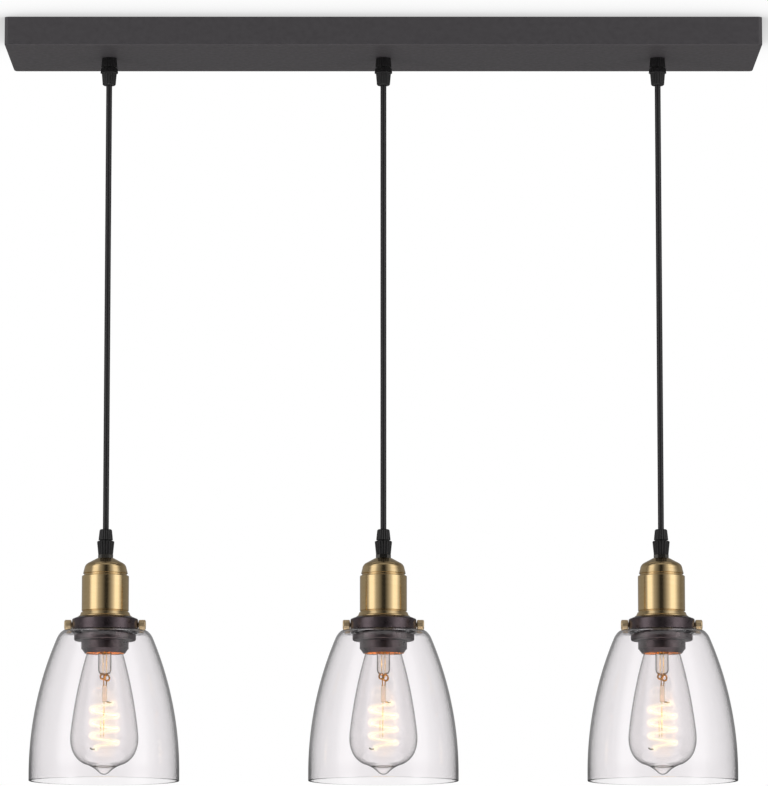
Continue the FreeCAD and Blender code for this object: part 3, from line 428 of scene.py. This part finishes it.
MATERIALS = {
    "canopy_paint": surface(
        "canopy_paint", ((0.054, 0.049, 0.054), (0.062, 0.057, 0.062)), (0.42, 0.55), 900, 0.02,
    ),
    "bar_zinc": surface(
        "bar_zinc", ((0.52, 0.54, 0.56), (0.66, 0.68, 0.70)), (0.3, 0.5), 400, 0.01, metallic=1.0,
    ),
    "screw_steel": surface(
        "screw_steel", ((0.05, 0.05, 0.055), (0.08, 0.08, 0.085)), (0.3, 0.42), 1500, 0.01, metallic=0.9,
    ),
    "grip_plastic": surface(
        "grip_plastic", ((0.005, 0.005, 0.005), (0.008, 0.007, 0.008)), (0.28, 0.40), 1800, 0.02,
    ),
    "cord_jacket": surface(
        "cord_jacket", ((0.010, 0.009, 0.010), (0.015, 0.014, 0.015)), (0.30, 0.40), 1600, 0.02,
    ),
    "block_plastic": surface(
        "block_plastic", ((0.70, 0.68, 0.62), (0.78, 0.76, 0.70)), (0.4, 0.5), 700, 0.02,
    ),
    "lock_nut_nickel": surface(
        "lock_nut_nickel", ((0.22, 0.21, 0.19), (0.30, 0.28, 0.25)), (0.12, 0.2), 1200, 0.01, metallic=1.0,
    ),
    "brass_satin": surface(
        "brass_satin", ((0.75, 0.55, 0.29), (0.80, 0.60, 0.33)), (0.13, 0.17), 200, 0.001,
        metallic=1.0, stretch=(1, 1, 8),
    ),
    "socket_black": surface(
        "socket_black", ((0.018, 0.016, 0.015), (0.026, 0.024, 0.022)), (0.35, 0.5), 1200, 0.02,
    ),
    "contact_brass": surface(
        "contact_brass", ((0.70, 0.52, 0.26), (0.82, 0.62, 0.34)), (0.25, 0.4), 1400, 0.01, metallic=1.0,
    ),
    "holder_bronze": surface(
        "holder_bronze", ((0.10, 0.078, 0.086), (0.15, 0.12, 0.13)), (0.24, 0.34), 700, 0.008, metallic=1.0,
    ),
    "ring_bronze": surface(
        "ring_bronze", ((0.09, 0.070, 0.072), (0.14, 0.11, 0.115)), (0.26, 0.38), 700, 0.008, metallic=1.0,
    ),
    "screw_brass": surface(
        "screw_brass", ((0.88, 0.66, 0.38), (0.95, 0.75, 0.48)), (0.36, 0.48), 1500, 0.008, metallic=1.0,
    ),
    "shade_glass": glass("shade_glass", (0.996, 0.980, 0.989), 0.02, 22),
    "bulb_clear": glass("bulb_clear", (0.996, 0.985, 0.985), 0.01, 20),
    "stem_glass": glass("stem_glass", (0.998, 0.975, 0.95), 0.01, 25),
    "bulb_base_metal": surface(
        "bulb_base_metal", ((0.62, 0.60, 0.57), (0.72, 0.70, 0.67)), (0.22, 0.36), 1500, 0.01, metallic=1.0,
    ),
    "wire_gold": surface(
        "wire_gold", ((0.60, 0.52, 0.26), (0.74, 0.66, 0.36)), (0.3, 0.4), 2500, 0.005, metallic=0.6,
    ),
    "wire_dark": surface(
        "wire_dark", ((0.09, 0.08, 0.03), (0.14, 0.12, 0.05)), (0.4, 0.5), 2500, 0.005, metallic=0.5,
    ),
    # painted light: an orange colour standing in for the coil's warm light on the far inside of each ring's
    # mouth
    "painted_mouth_glow": surface(
        "painted_mouth_glow", ((0.62, 0.26, 0.08), (0.78, 0.36, 0.12)), (0.45, 0.6), 1500, 0.01, metallic=0.2,
    ),
    "wire_copper": surface(
        "wire_copper", ((0.50, 0.26, 0.09), (0.66, 0.38, 0.14)), (0.3, 0.45), 2500, 0.01, metallic=0.7,
    ),
    "filament_glow": glow("filament_glow", ((1.0, 0.93, 0.70), (1.0, 0.98, 0.86)), 1.0),
    # painted light: the rod's peach tint stands in for the coil's warm light falling on it
    "rod_glass_painted_glow": glass("rod_glass_painted_glow", (0.98, 0.84, 0.70), 0.01, 20),
    # painted shade: dark glass standing in for the dark band that refraction makes near each bulb's tip
    "painted_dark_band_glass": glass("painted_dark_band_glass", (0.55, 0.50, 0.44), 0.01, 900),
    "coil_haze": coil_haze(),
    "coil_halo": coil_halo(),
    "lead_black": surface("lead_black", ((0.02, 0.02, 0.02), (0.03, 0.03, 0.03)), (0.4, 0.5), 1500, 0.01),
    "lead_white": surface("lead_white", ((0.72, 0.72, 0.70), (0.80, 0.80, 0.78)), (0.4, 0.5), 1500, 0.01),
    "lead_green": surface("lead_green", ((0.02, 0.20, 0.07), (0.03, 0.26, 0.09)), (0.4, 0.5), 1500, 0.01),
}


# Cords. Each is drawn straight down from its grip, through the level where its short top stretch meets the
# length that the lamp hangs on.

def add_cord(side):
    x = lamp_x(side)
    stops = [(x, 0, CORD_MOUTH), (x, 0, SWAY_LEVEL), (x, 0, HEAD_MOUTH)]
    route = spline(f"cord_route_{side}", stops, steps=96)
    path = [vertex.co.copy() for vertex in curve_mesh(route).vertices]
    inside = HEAD_MOUTH - 4 * MM
    radius, top = CORD_RADIUS / MM, SWING_LEVEL / MM
    levels = [point.z / MM for point in path if point.z < SWING_LEVEL - MM]
    outline = [(0, inside / MM), (radius, inside / MM)] + [(radius, level) for level in reversed(levels)]
    outline += [(radius, top, radius), (0, top + radius)]
    mesh = lathe(f"cord_{side}_jacket", outline, edge=0.05, segments=32)
    cord = bpy.data.objects.new(f"cord_{side}_jacket", mesh)
    bpy.context.scene.collection.objects.link(cord)
    cord.location = (x, 0, 0)
    mesh.materials.append(MATERIALS["cord_jacket"])
    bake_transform(cord)
    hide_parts(f"cord_flex_{side}", f"cord_{side}")


for side in SIDES:
    add_cord(side)


# Canopy: the strain reliefs under it and the wiring inside

GRIP_NUT = [
    (3.1, 0), (5.4, 0), (6.2, 0.8), (7.1, 11.2), (8.4, 11.8), (7.8, 16.3), (5.6, 16.3), (5.6, 7.9),
    (3.1, 6.9),
]
GRIP_BODY = [
    (2.8, 8.2), (5.6, 8.2), (5.6, 17.2), (7.7, 17.2), (7.0, 26.1), (4.8, 26.1), (4.8, 35.3), (2.8, 35.3),
]


def add_canopy_grips():
    nut = lathe("canopy_clamp_nut", GRIP_NUT, 0.25, 240, ribs(20, 0.35, 5.7))
    body = lathe("canopy_grip_body", GRIP_BODY, 0.25, 240, ribs(20, 0.3, 6.5))
    for side in SIDES:
        place = (lamp_x(side), 0, CORD_MOUTH)
        soften_shading(add_piece(
            f"canopy_clamp_nut_{side}", nut, place, "canopy", MATERIALS["grip_plastic"], "grip_plastic",
            "canopy_clamp_nuts",
        ))
        soften_shading(add_piece(
            f"canopy_grip_body_{side}", body, place, "canopy", MATERIALS["grip_plastic"], "grip_plastic",
            "canopy_grip_bodies",
        ))


add_canopy_grips()


JACKET_END = -14.2
CORE_RADIUS = 1.9
CORE_GAP = 1.85
BLOCK_LEVEL = -8.0
BLOCK_MIDDLE = 70
BLOCK_REACH = 9
POLE_GAP = 9
LEAD_RISES = {"left": 1.05, "centre": -1.05, "right": 0}
LEAD_COLOURS = ("lead_black", "lead_green", "lead_white")


def add_wiring():
    """Each cord's stripped end above its grip, and its three conductors up to the terminal block."""
    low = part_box("cord_tails")[0].z / MM
    jacket = lathe("cord_tail", [
        (0, low), (CORD_RADIUS / MM, low), (CORD_RADIUS / MM, JACKET_END), (CORE_RADIUS, JACKET_END),
        (CORE_RADIUS, JACKET_END - 2), (0, JACKET_END - 2),
    ], 0.3, 32)
    for side in SIDES:
        x = lamp_x(side) / MM
        entry = BLOCK_MIDDLE + (BLOCK_REACH if side == "right" else -BLOCK_REACH)
        level = BLOCK_LEVEL + LEAD_RISES[side]
        add_piece(
            f"cord_tail_{side}", jacket, (x * MM, 0, 0), "canopy", MATERIALS["cord_jacket"], "cord_jacket",
            "cord_tails",
        )
        for pole, colour in zip((-1, 0, 1), LEAD_COLOURS):
            run = Vector((entry - x, (POLE_GAP - CORE_GAP) * pole, 0)).normalized() * 6
            corner = Vector((x, CORE_GAP * pole, level))
            lead = rod_mesh(f"lead_{side}_{pole + 2}", 0.9, [
                (x, CORE_GAP * pole, JACKET_END - 1.5), corner, corner + run,
                (entry, POLE_GAP * pole, level),
            ])
            add_piece(
                f"lead_{side}_{pole + 2}", lead, (0, 0, 0), "canopy", MATERIALS[colour], "lead_insulation",
                "lead_wires",
            )


add_wiring()


# Lamp pieces, drawn once and placed on each lamp

COVER = shell([
    (24.9, 0, 0), (24.9, 0.7, 0), (23.7, 1.4, 40), (22.5, 4.3, 20), (21.2, 4.7, 0), (21.2, 5.4, 0),
    (22, 5.9, 0), (22, 37.8, 0, 1), (21.4, 38.7, 30), (20.0, 39.2, 0), (20.0, 40.2, 0), (20.9, 40.9, 0),
    (19.7, 45.6, 6, 6.5), (16.4, 50.6, 60), (8.2, 55, 90), (4.7, 55, 90),
], 0.8)
HOLDER = shell([
    (30.8, -11.8, 0), (30.8, -2.9, 0, 1.3), (30.08, -1.8, 63), (25.6, 0, 90), (19.0, 0, 90),
], 0.9)
RING = [
    (17.9, -34.3), (18.8, -34.3), (21.5, -30.3), (22.1, -30.3), (22.1, -23.0), (27.3, -22.5, 1.6),
    (28.9, -20.9), (28.9, -16), (22.1, -16), (22.1, -0.9), (18.7, -0.9), (18.7, -27.3), (17.9, -27.3),
]
HEAD_NUT = [
    (4.6, 72.2), (6.7, 72.2), (6.7, 73.0), (5.8, 81.5), (5.0, 82.3), (3.1, 82.3), (3.1, 78.6), (4.6, 77.6),
]
HEAD_BODY = [
    (2.8, 48), (4.5, 48), (4.5, 58.5), (6.9, 58.5), (8.1, 70.7), (7.5, 71.3), (4.6, 71.3), (4.6, 77.3),
    (2.8, 77.3),
]
THUMB = [
    (0, 28.62), (1.6, 28.62), (1.6, 30.88), (2.5, 30.88), (2.5, 31.3), (3.8, 31.3, 1.2), (4.8, 32.4),
    (4.8, 36.7, 1.4), (3.6, 37.98), (1.6, 37.98), (1.2, 37.5), (0, 37.5),
]
SHADE = shell([
    (70, -153, 0), (70, -145, 0, 322.4), (44.7, -19.8, 22.9, 17), (40.95, -14.35, 45, 7), (36, -12.3, 90),
    (29.5, -12.3, 90, -0.9), (28.6, -11.4, 0), (28.6, -2.15, 0),
], 2.2)
BULB_TIP = -146.65
BULB = shell([
    (radius, BULB_TIP + height, *rest) for radius, height, *rest in [
        (0, 0, -90, "dome"), (4.6, 1.7, -49, -32), (18.5, 9.6, -69, 22), (29.3, 20.7, -23, 32.7),
        (31.7, 33, 0, 58.5), (31.15, 41, 8, 440), (17.2, 111.5, 17), (15.6, 117, 17, 3.7), (12.5, 119.6, 45),
        (12.5, 124.9, 0),
    ]
], 0.5)
BASE = [
    (12.5, -26.75), (13.1, -26.75), (13.1, -9.25), (10.7, -6.85), (4.6, -3.85), (4.6, -3.25), (3, -2.25),
    (0, -2.25), (0, -6.25), (4.6, -6.85), (12.5, -11.25),
]
STEM = shell([
    (1.5, -57, 0), (1.6, -54.6, 10), (5.2, -52.4, 60), (6.1, -50.2, 0), (6.1, -29, 0), (8.2, -24.2, -25),
    (12.4, -21.9, -60), (12.4, -21.4, 0),
], 0.7)
ROD = [(0, -79.6), (2.0, -79.6), (2.3, -78.8), (2.3, -65.6), (1.6, -64.2), (0, -63.6)]
# A dark glass ring near the bulb's tip: painted shade for the dark refraction band there
TIP_DARK_BAND = [(10.6, BULB_TIP + 6.7), (11.6, BULB_TIP + 6.9), (11.6, BULB_TIP + 7.7), (10.6, BULB_TIP + 7.9)]
# A thin sheet just inside each ring's mouth, coloured orange as painted light: the coil's warm glow on the
# ring's inside
MOUTH_GLOW_SHEET = [(17.45, -33.9), (17.85, -33.9), (17.85, -27.4), (17.45, -27.4)]
SPIRAL_RADIUS = 11.6
SPIRAL_TOP = -80.2
SPIRAL_PITCH = 12.4
SPIRAL_TURNS = 3.5


def spiral_mesh(name, thickness):
    """A coil of twelve control points a turn, set out so that the curve has the coil's radius."""
    per_turn = 12
    reach = SPIRAL_RADIUS / (0.5 + 0.5 * math.cos(2 * math.pi / per_turn))
    last = round(per_turn * SPIRAL_TURNS)
    points = []
    for step in range(last + 1):
        angle = -2 * math.pi * step / per_turn
        height = SPIRAL_TOP - SPIRAL_PITCH * step / per_turn
        drawn_in = min(1, 0.62 + 0.13 * min(step, last - step))
        points.append((
            reach * drawn_in * math.cos(angle) * MM, reach * drawn_in * math.sin(angle) * MM, height * MM,
        ))
    return curve_mesh(spline(name, points, radius=thickness * MM, steps=6))


def halo_mesh():
    """The long egg of air that the lit coil brightens."""
    mesh = bpy.data.meshes.new("filament_halo")
    work = bmesh.new()
    bmesh.ops.create_icosphere(work, subdivisions=4, radius=1)
    work.to_mesh(mesh)
    work.free()
    stretch = Matrix.Diagonal((HALO_RADIUS * MM, HALO_RADIUS * MM, HALO_REACH * MM, 1))
    mesh.transform(Matrix.Translation((0, 0, HALO_MIDDLE * MM)) @ stretch)
    return mesh


def loop_points(x, z, radius, tilt):
    """Control points round a small open loop that stands nearly upright."""
    points = []
    for step in range(11):
        angle = 0.6 + 2 * math.pi * step / 10
        depth = tilt * math.sin(angle) + 0.3 * step - 1.5
        points.append((x + radius * math.cos(angle), depth, z + 1.15 * radius * math.sin(angle)))
    return points


def support_meshes():
    """What carries the coil: bright wires, a dark clip at each end of it, and copper knots over it."""
    foot = SPIRAL_TOP - SPIRAL_PITCH * SPIRAL_TURNS
    wires = join_meshes("filament_wires", [
        rod_mesh("stem_wire_left", 0.3, [(-1.6, 0.5, -23), (-1.6, 0.5, -39), (-1.8, 0, -54)]),
        rod_mesh("stem_wire_right", 0.3, [(1.3, 0.5, -23), (1.3, 0.5, -39), (1.8, 0, -54)]),
        rod_mesh("centre_wire", 0.45, [(-0.4, 0, -79), (-0.6, 0, -96), (-0.6, 0, -112)]),
        rod_mesh("side_wire", 0.35, [(-3.1, -1, -93), (-3.3, -1, -103), (-3.1, -1, -112.5)]),
    ])
    clips = join_meshes("filament_clips", [
        rod_mesh("top_clip", 0.7, [
            (2.0, 0, -79.6), (4.4, -0.5, -79.8), (5.2, -0.5, -80.6), (8.0, 0, -80.2),
        ]),
        rod_mesh("foot_clip", 0.55, [(-13, 0, foot + 1.6), (-12.4, 0, foot - 0.6), (-8.6, -1, foot + 0.4)]),
    ])
    knots = join_meshes("filament_knots", [
        rod_mesh("knot_left", 0.85, loop_points(-2.1, -56.0, 2.0, 1.0)),
        rod_mesh("knot_right", 0.85, loop_points(2.2, -57.2, 2.3, -1.0)),
        rod_mesh("tie", 0.6, [(-4.6, 0.3, -51.6), (-4.2, -0.6, -54), (0.4, -1.6, -53.6), (4.4, -0.4, -52)]),
        rod_mesh("post_left", 0.55, [(-1.0, 0, -58.2), (-0.9, 0, -61), (-0.9, 0, -65)]),
        rod_mesh("post_right", 0.55, [(1.7, 0, -60), (1.6, 0, -62), (1.5, 0, -65)]),
    ])
    return wires, clips, knots


def thread(pitch, depth, low, high, from_radius):
    """A rolled screw thread between two heights."""
    def shape(radius, angle, height):
        if radius < from_radius or not low < height < high:
            return radius
        return radius - depth * (0.5 - 0.5 * math.cos(2 * math.pi * height / pitch - angle))
    return shape


def base_outline():
    """The bulb's base with enough rings on its side for the thread."""
    side = [(13.1, -26.75 + 0.5 * step) for step in range(36)]
    return [BASE[0]] + side + BASE[3:]


def thumb_mesh():
    """A knurled screw along X, its tip towards the lamp."""
    mesh = lathe("thumb_screw", THUMB, 0.2, 120, ribs(20, 0.22, 4.2))
    mesh.transform(Matrix.Rotation(math.pi / 2, 4, "Y"))
    return mesh


THUMB_DROP = 7.4
TURNED = {
    "socket_cover": (lathe("socket_cover", COVER, 0.3, 128), "brass_satin"),
    "shade_holder": (lathe("shade_holder", HOLDER, 0.3, 128), "holder_bronze"),
    "retaining_ring": (lathe("retaining_ring", RING, 0.35, 128), "ring_bronze"),
    "head_clamp_nut": (lathe("head_clamp_nut", HEAD_NUT, 0.2, 240, ribs(12, 0.45, 5.3)), "grip_plastic"),
    "head_grip_body": (lathe("head_grip_body", HEAD_BODY, 0.2, 240, ribs(12, 0.55, 6.4)), "grip_plastic"),
    "glass_shade": (lathe("glass_shade", SHADE, 0.8, 160), "shade_glass"),
}


def add_lamps():
    bulb_glass = lathe("bulb_glass", BULB, 0.2, 128)
    bulb_base = lathe("bulb_base", base_outline(), 0.15, 96, thread(3.6, 0.9, -25.5, -9.8, 13))
    stem = lathe("bulb_stem", STEM, 0.15, 64)
    coil = spiral_mesh("filament_spiral", 0.9)
    wires, clips, knots = support_meshes()
    glow_sheet = lathe("mouth_glow_sheet", MOUTH_GLOW_SHEET, 0.1, 96)
    tip_dark_band = lathe("bulb_tip_dark_band", TIP_DARK_BAND, 0.3, 64)
    rod = lathe("stem_rod", ROD, 0.2, 48)
    haze = spiral_mesh("filament_haze", 3.0)
    halo = halo_mesh()
    thumb = thumb_mesh()
    for side in SIDES:
        place = Vector((lamp_x(side), 0, SEAT))
        for name, (mesh, finish) in TURNED.items():
            piece = add_piece(
                f"{name}_{side}_skin", mesh, place, f"lamp_{side}", MATERIALS[finish], finish,
                f"{name}_{side}",
            )
            soften_shading(piece)
            piece.visible_shadow = finish != "shade_glass"
        for where, turn in (("right", 0), ("rear", 90), ("left", 180)):
            name = f"thumb_screw_{side}_{where}"
            screw = bpy.data.objects.new(f"{name}_skin", thumb)
            bpy.context.scene.collection.objects.link(screw)
            screw.location = place - Vector((0, 0, THUMB_DROP * MM))
            screw.rotation_euler.z = math.radians(turn)
            if not thumb.materials:
                thumb.materials.append(MATERIALS["screw_brass"])
            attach(screw, f"thumb_{side}_{where}")
            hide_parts(name)
            soften_shading(screw)
        # painted light: the orange sheet in the ring's mouth shows the coil's warm glow there
        add_piece(
            f"mouth_glow_sheet_{side}", glow_sheet, place, f"lamp_{side}", MATERIALS["painted_mouth_glow"], "contact_brass",
        )
        bulb = f"bulb_{side}"
        envelope = add_piece(
            f"bulb_glass_{side}_skin", bulb_glass, place, bulb, MATERIALS["bulb_clear"], "bulb_clear",
            f"bulb_glass_{side}",
        )
        envelope.visible_shadow = False
        soften_shading(add_piece(
            f"bulb_base_{side}_skin", bulb_base, place, bulb, MATERIALS["bulb_base_metal"],
            "bulb_base_metal", f"bulb_base_{side}",
        ))
        # painted shade: the dark ring near the tip stands in for a refraction band
        line = add_piece(f"bulb_tip_dark_band_{side}", tip_dark_band, place, bulb, MATERIALS["painted_dark_band_glass"], "bulb_clear")
        line.visible_shadow = False
        tube = add_piece(
            f"bulb_stem_{side}", stem, place, bulb, MATERIALS["stem_glass"], "bulb_clear",
            f"bulb_filament_{side}",
        )
        tube.visible_shadow = False
        for name, mesh, finish in (
            ("wires", wires, "wire_gold"), ("clips", clips, "wire_dark"), ("knots", knots, "wire_copper"),
        ):
            add_piece(f"bulb_{name}_{side}", mesh, place, bulb, MATERIALS[finish], "filament_glow")
        # painted light: the glass rod is tinted peach for the coil's warm light on it
        core = add_piece(f"bulb_rod_{side}", rod, place, bulb, MATERIALS["rod_glass_painted_glow"], "bulb_clear")
        core.visible_shadow = False
        add_piece(
            f"bulb_spiral_{side}", coil, place, bulb, MATERIALS["filament_glow"], "filament_glow",
            f"bulb_filament_{side}",
        )
        for name, mesh in (("coil_haze", haze), ("coil_halo", halo)):
            air = add_piece(f"bulb_{name}_{side}", mesh, place, bulb, MATERIALS[name], "filament_glow")
            air.visible_shadow = False


add_lamps()


# CAD nodes whose own shape is shown

CAD_FINISHES = {
    "canopy_pan": "canopy_paint",
    "mounting_bar": "bar_zinc",
    "canopy_screws": "screw_steel",
    "canopy_lock_nuts": "lock_nut_nickel",
    "terminal_block": "block_plastic",
}
for side in SIDES:
    CAD_FINISHES[f"head_lock_nut_{side}"] = "lock_nut_nickel"
    CAD_FINISHES[f"socket_body_{side}"] = "socket_black"
    CAD_FINISHES[f"socket_contacts_{side}"] = "contact_brass"


def dress_cad_nodes():
    for name, finish in CAD_FINISHES.items():
        node = frame["nodes"][name]
        node.data.materials.clear()
        node.data.materials.append(MATERIALS[finish])
        edges = node.modifiers.new("edges", "BEVEL")
        edges.width = 0.3 * MM
        edges.segments = 2
        edges.limit_method = "ANGLE"
        edges.angle_limit = math.radians(40)
        edges.harden_normals = True


dress_cad_nodes()


# Ceiling, studio wall, world and lights

STAGE_REACH = 3
FLOOR_LEVEL = -1.6
WALL_RADIUS = 2.6
AMBIENT = 0.55


def emission_material(name, build):
    """A stage material: build(tree) gives the colour output that it shines with."""
    material = bpy.data.materials.new(name)
    material.use_nodes = True
    tree = material.node_tree
    tree.nodes.remove(tree.nodes["Principled BSDF"])
    shine = tree.nodes.new("ShaderNodeEmission")
    tree.links.new(build(tree), shine.inputs["Color"])
    return material, tree, shine


def ramp(tree, factor, stops):
    node = tree.nodes.new("ShaderNodeValToRGB")
    while len(node.color_ramp.elements) < len(stops):
        node.color_ramp.elements.new(1)
    for element, (place, grey) in zip(node.color_ramp.elements, stops):
        element.position = place
        element.color = (grey, grey, grey, 1)
    tree.links.new(factor, node.inputs["Fac"])
    return node.outputs["Color"]


def add_stage(name, mesh, material, **seen_by):
    piece = bpy.data.objects.new(name, mesh)
    bpy.context.scene.collection.objects.link(piece)
    mesh.materials.append(material)
    for kind in ("camera", "diffuse", "glossy", "transmission", "volume_scatter", "shadow"):
        setattr(piece, f"visible_{kind}", seen_by.get(kind, False))


def plane_mesh(name, reach, height, facing_down=False):
    mesh = bpy.data.meshes.new(name)
    square = [(-reach, -reach), (reach, -reach), (reach, reach), (-reach, reach)]
    corners = [(x, y, height) for x, y in square]
    mesh.from_pydata(corners, [], [(3, 2, 1, 0) if facing_down else (0, 1, 2, 3)])
    return mesh


def add_ceiling():
    """White, with the soft shadow that the canopy leaves on it. It isn't there from above."""
    def colour(tree):
        shelter = tree.nodes.new("ShaderNodeAmbientOcclusion")
        shelter.samples = 16
        shelter.inputs["Distance"].default_value = 0.12
        return ramp(tree, shelter.outputs["AO"], [(0.45, 0.58), (0.70, 0.72), (0.94, 0.94), (1.0, 1.0)])

    material, tree, shine = emission_material("ceiling_white", colour)
    geometry = tree.nodes.new("ShaderNodeNewGeometry")
    clear = tree.nodes.new("ShaderNodeBsdfTransparent")
    choice = tree.nodes.new("ShaderNodeMixShader")
    tree.links.new(geometry.outputs["Backfacing"], choice.inputs["Fac"])
    tree.links.new(shine.outputs["Emission"], choice.inputs[1])
    tree.links.new(clear.outputs["BSDF"], choice.inputs[2])
    tree.links.new(choice.outputs["Shader"], tree.nodes["Material Output"].inputs["Surface"])
    add_stage("ceiling", plane_mesh("ceiling", STAGE_REACH, 0, facing_down=True), material, camera=True)


def add_floor():
    """A plain pale floor far below, which throws light up under the canopy."""
    material, tree, shader = new_material("floor_white")
    tree.links.new(
        mix_colours(tree, noise_node(tree, 5).outputs["Fac"], (0.78, 0.78, 0.78), (0.82, 0.82, 0.82)),
        shader.inputs["Base Color"],
    )
    add_stage("floor", plane_mesh("floor", STAGE_REACH, FLOOR_LEVEL), material, diffuse=True)


def add_studio_wall():
    """What metal and glass reflect round the lamps: tall soft boxes either side of a dim front."""
    mesh = bpy.data.meshes.new("studio_wall")
    work = bmesh.new()
    bmesh.ops.create_cone(
        work, cap_ends=False, segments=96, radius1=WALL_RADIUS, radius2=WALL_RADIUS, depth=STAGE_REACH * 2,
    )
    work.to_mesh(mesh)
    work.free()

    def colour(tree):
        geometry = tree.nodes.new("ShaderNodeNewGeometry")
        parts = tree.nodes.new("ShaderNodeSeparateXYZ")
        away = tree.nodes.new("ShaderNodeMath")
        away.operation = "MULTIPLY"
        away.inputs[1].default_value = -1
        angle = tree.nodes.new("ShaderNodeMath")
        angle.operation = "ARCTAN2"
        turn = tree.nodes.new("ShaderNodeMapRange")
        turn.inputs["From Min"].default_value = -math.pi
        turn.inputs["From Max"].default_value = math.pi
        tree.links.new(geometry.outputs["Position"], parts.inputs["Vector"])
        tree.links.new(parts.outputs["Y"], away.inputs[0])
        tree.links.new(parts.outputs["X"], angle.inputs[0])
        tree.links.new(away.outputs["Value"], angle.inputs[1])
        tree.links.new(angle.outputs["Value"], turn.inputs["Value"])
        stops = [
            (-180, 0.28), (-108, 0.30), (-82, 0.33), (-68, 1.45), (-50, 1.45), (-36, 0.52), (-18, 0.22),
            (-4, 0.02), (8, 0.015), (22, 0.26), (38, 0.75), (50, 1.45), (66, 1.45), (84, 0.5), (100, 0.20),
            (180, 0.28),
        ]
        boxes = ramp(tree, turn.outputs["Result"], [(0.5 + angle / 360, grey) for angle, grey in stops])
        height = tree.nodes.new("ShaderNodeMapRange")
        height.inputs["From Min"].default_value = -1
        height.inputs["From Max"].default_value = 2
        tree.links.new(parts.outputs["Z"], height.inputs["Value"])
        levels = [(-0.62, 0.35), (-0.42, 1.0), (0.1, 1.0), (1.6, 0.62)]
        upright = ramp(tree, height.outputs["Result"], [((level + 1) / 3, grey) for level, grey in levels])
        faded = tree.nodes.new("ShaderNodeVectorMath")
        faded.operation = "SCALE"
        tree.links.new(boxes, faded.inputs[0])
        tree.links.new(upright, faded.inputs["Scale"])
        path = tree.nodes.new("ShaderNodeLightPath")
        seen = tree.nodes.new("ShaderNodeMix")
        seen.data_type = "RGBA"
        seen.inputs["A"].default_value = (1, 1, 1, 1)
        tree.links.new(path.outputs["Glossy Depth"], seen.inputs["Factor"])
        tree.links.new(faded.outputs["Vector"], seen.inputs["B"])
        return seen.outputs["Result"]

    material, tree, shine = emission_material("studio_wall", colour)
    tree.links.new(shine.outputs["Emission"], tree.nodes["Material Output"].inputs["Surface"])
    add_stage("studio_wall", mesh, material, glossy=True, transmission=True)


def make_world():
    """White behind everything, and plainer light on the surfaces and in what they reflect."""
    world = bpy.data.worlds.new("studio")
    bpy.context.scene.world = world
    world.use_nodes = True
    tree = world.node_tree
    ambient = tree.nodes["Background"]
    ambient.inputs["Color"].default_value = (1, 1, 1, 1)
    white = tree.nodes.new("ShaderNodeBackground")
    white.inputs["Color"].default_value = (1, 1, 1, 1)
    rays = tree.nodes.new("ShaderNodeLightPath")
    either = tree.nodes.new("ShaderNodeMath")
    either.operation = "MAXIMUM"
    tree.links.new(rays.outputs["Is Camera Ray"], either.inputs[0])
    tree.links.new(rays.outputs["Is Transmission Ray"], either.inputs[1])
    place = tree.nodes.new("ShaderNodeTexCoord")
    parts = tree.nodes.new("ShaderNodeSeparateXYZ")
    tree.links.new(place.outputs["Generated"], parts.inputs["Vector"])
    reflected = tree.nodes.new("ShaderNodeMapRange")
    reflected.inputs["From Min"].default_value = -0.2
    reflected.inputs["From Max"].default_value = 0.2
    reflected.inputs["To Min"].default_value = 1.0
    reflected.inputs["To Max"].default_value = 0.3
    tree.links.new(parts.outputs["Z"], reflected.inputs["Value"])
    strength = tree.nodes.new("ShaderNodeMix")
    strength.inputs["A"].default_value = AMBIENT
    tree.links.new(rays.outputs["Is Glossy Ray"], strength.inputs["Factor"])
    tree.links.new(reflected.outputs["Result"], strength.inputs["B"])
    tree.links.new(strength.outputs["Result"], ambient.inputs["Strength"])
    choice = tree.nodes.new("ShaderNodeMixShader")
    tree.links.new(either.outputs["Value"], choice.inputs["Fac"])
    tree.links.new(ambient.outputs["Background"], choice.inputs[1])
    tree.links.new(white.outputs["Background"], choice.inputs[2])
    tree.links.new(choice.outputs["Shader"], tree.nodes["World Output"].inputs["Surface"])


def add_soft_box(name, place, width, height, power):
    lamp = bpy.data.lights.new(name, "AREA")
    lamp.shape = "RECTANGLE"
    lamp.size = width
    lamp.size_y = height
    lamp.energy = power
    box = bpy.data.objects.new(name, lamp)
    bpy.context.scene.collection.objects.link(box)
    box.location = place
    towards = Vector((0, 0, -0.4)) - box.location
    box.rotation_euler = towards.to_track_quat("-Z", "Y").to_euler()
    box.visible_glossy = False
    box.visible_camera = False
    box.visible_transmission = False


def add_bulb_lights():
    """The warm light that the coils throw on the pieces round them, and in the rings' mouths."""
    for side in SIDES:
        for name, level, power in (("coil_light", -95, 0.4), ("mouth_light", -44, 0.03)):
            lamp = bpy.data.lights.new(f"{name}_{side}", "POINT")
            lamp.color = (1.0, 0.55, 0.22)
            lamp.energy = power
            lamp.shadow_soft_size = 0.006
            shine = bpy.data.objects.new(f"{name}_{side}", lamp)
            bpy.context.scene.collection.objects.link(shine)
            shine.parent = frame["bodies"][f"bulb_{side}"]
            shine.location = (lamp_x(side), 0, SEAT + level * MM)
            shine.visible_glossy = False
            shine.visible_camera = False
            shine.visible_transmission = False


bpy.context.scene.view_settings.view_transform = "Standard"
make_world()
add_ceiling()
add_floor()
add_studio_wall()
add_soft_box("soft_box_left", (-2.1, -1.4, -0.9), 0.9, 1.8, 16)
add_soft_box("soft_box_right", (2.1, -1.4, -0.9), 0.9, 1.8, 16)
add_bulb_lights()
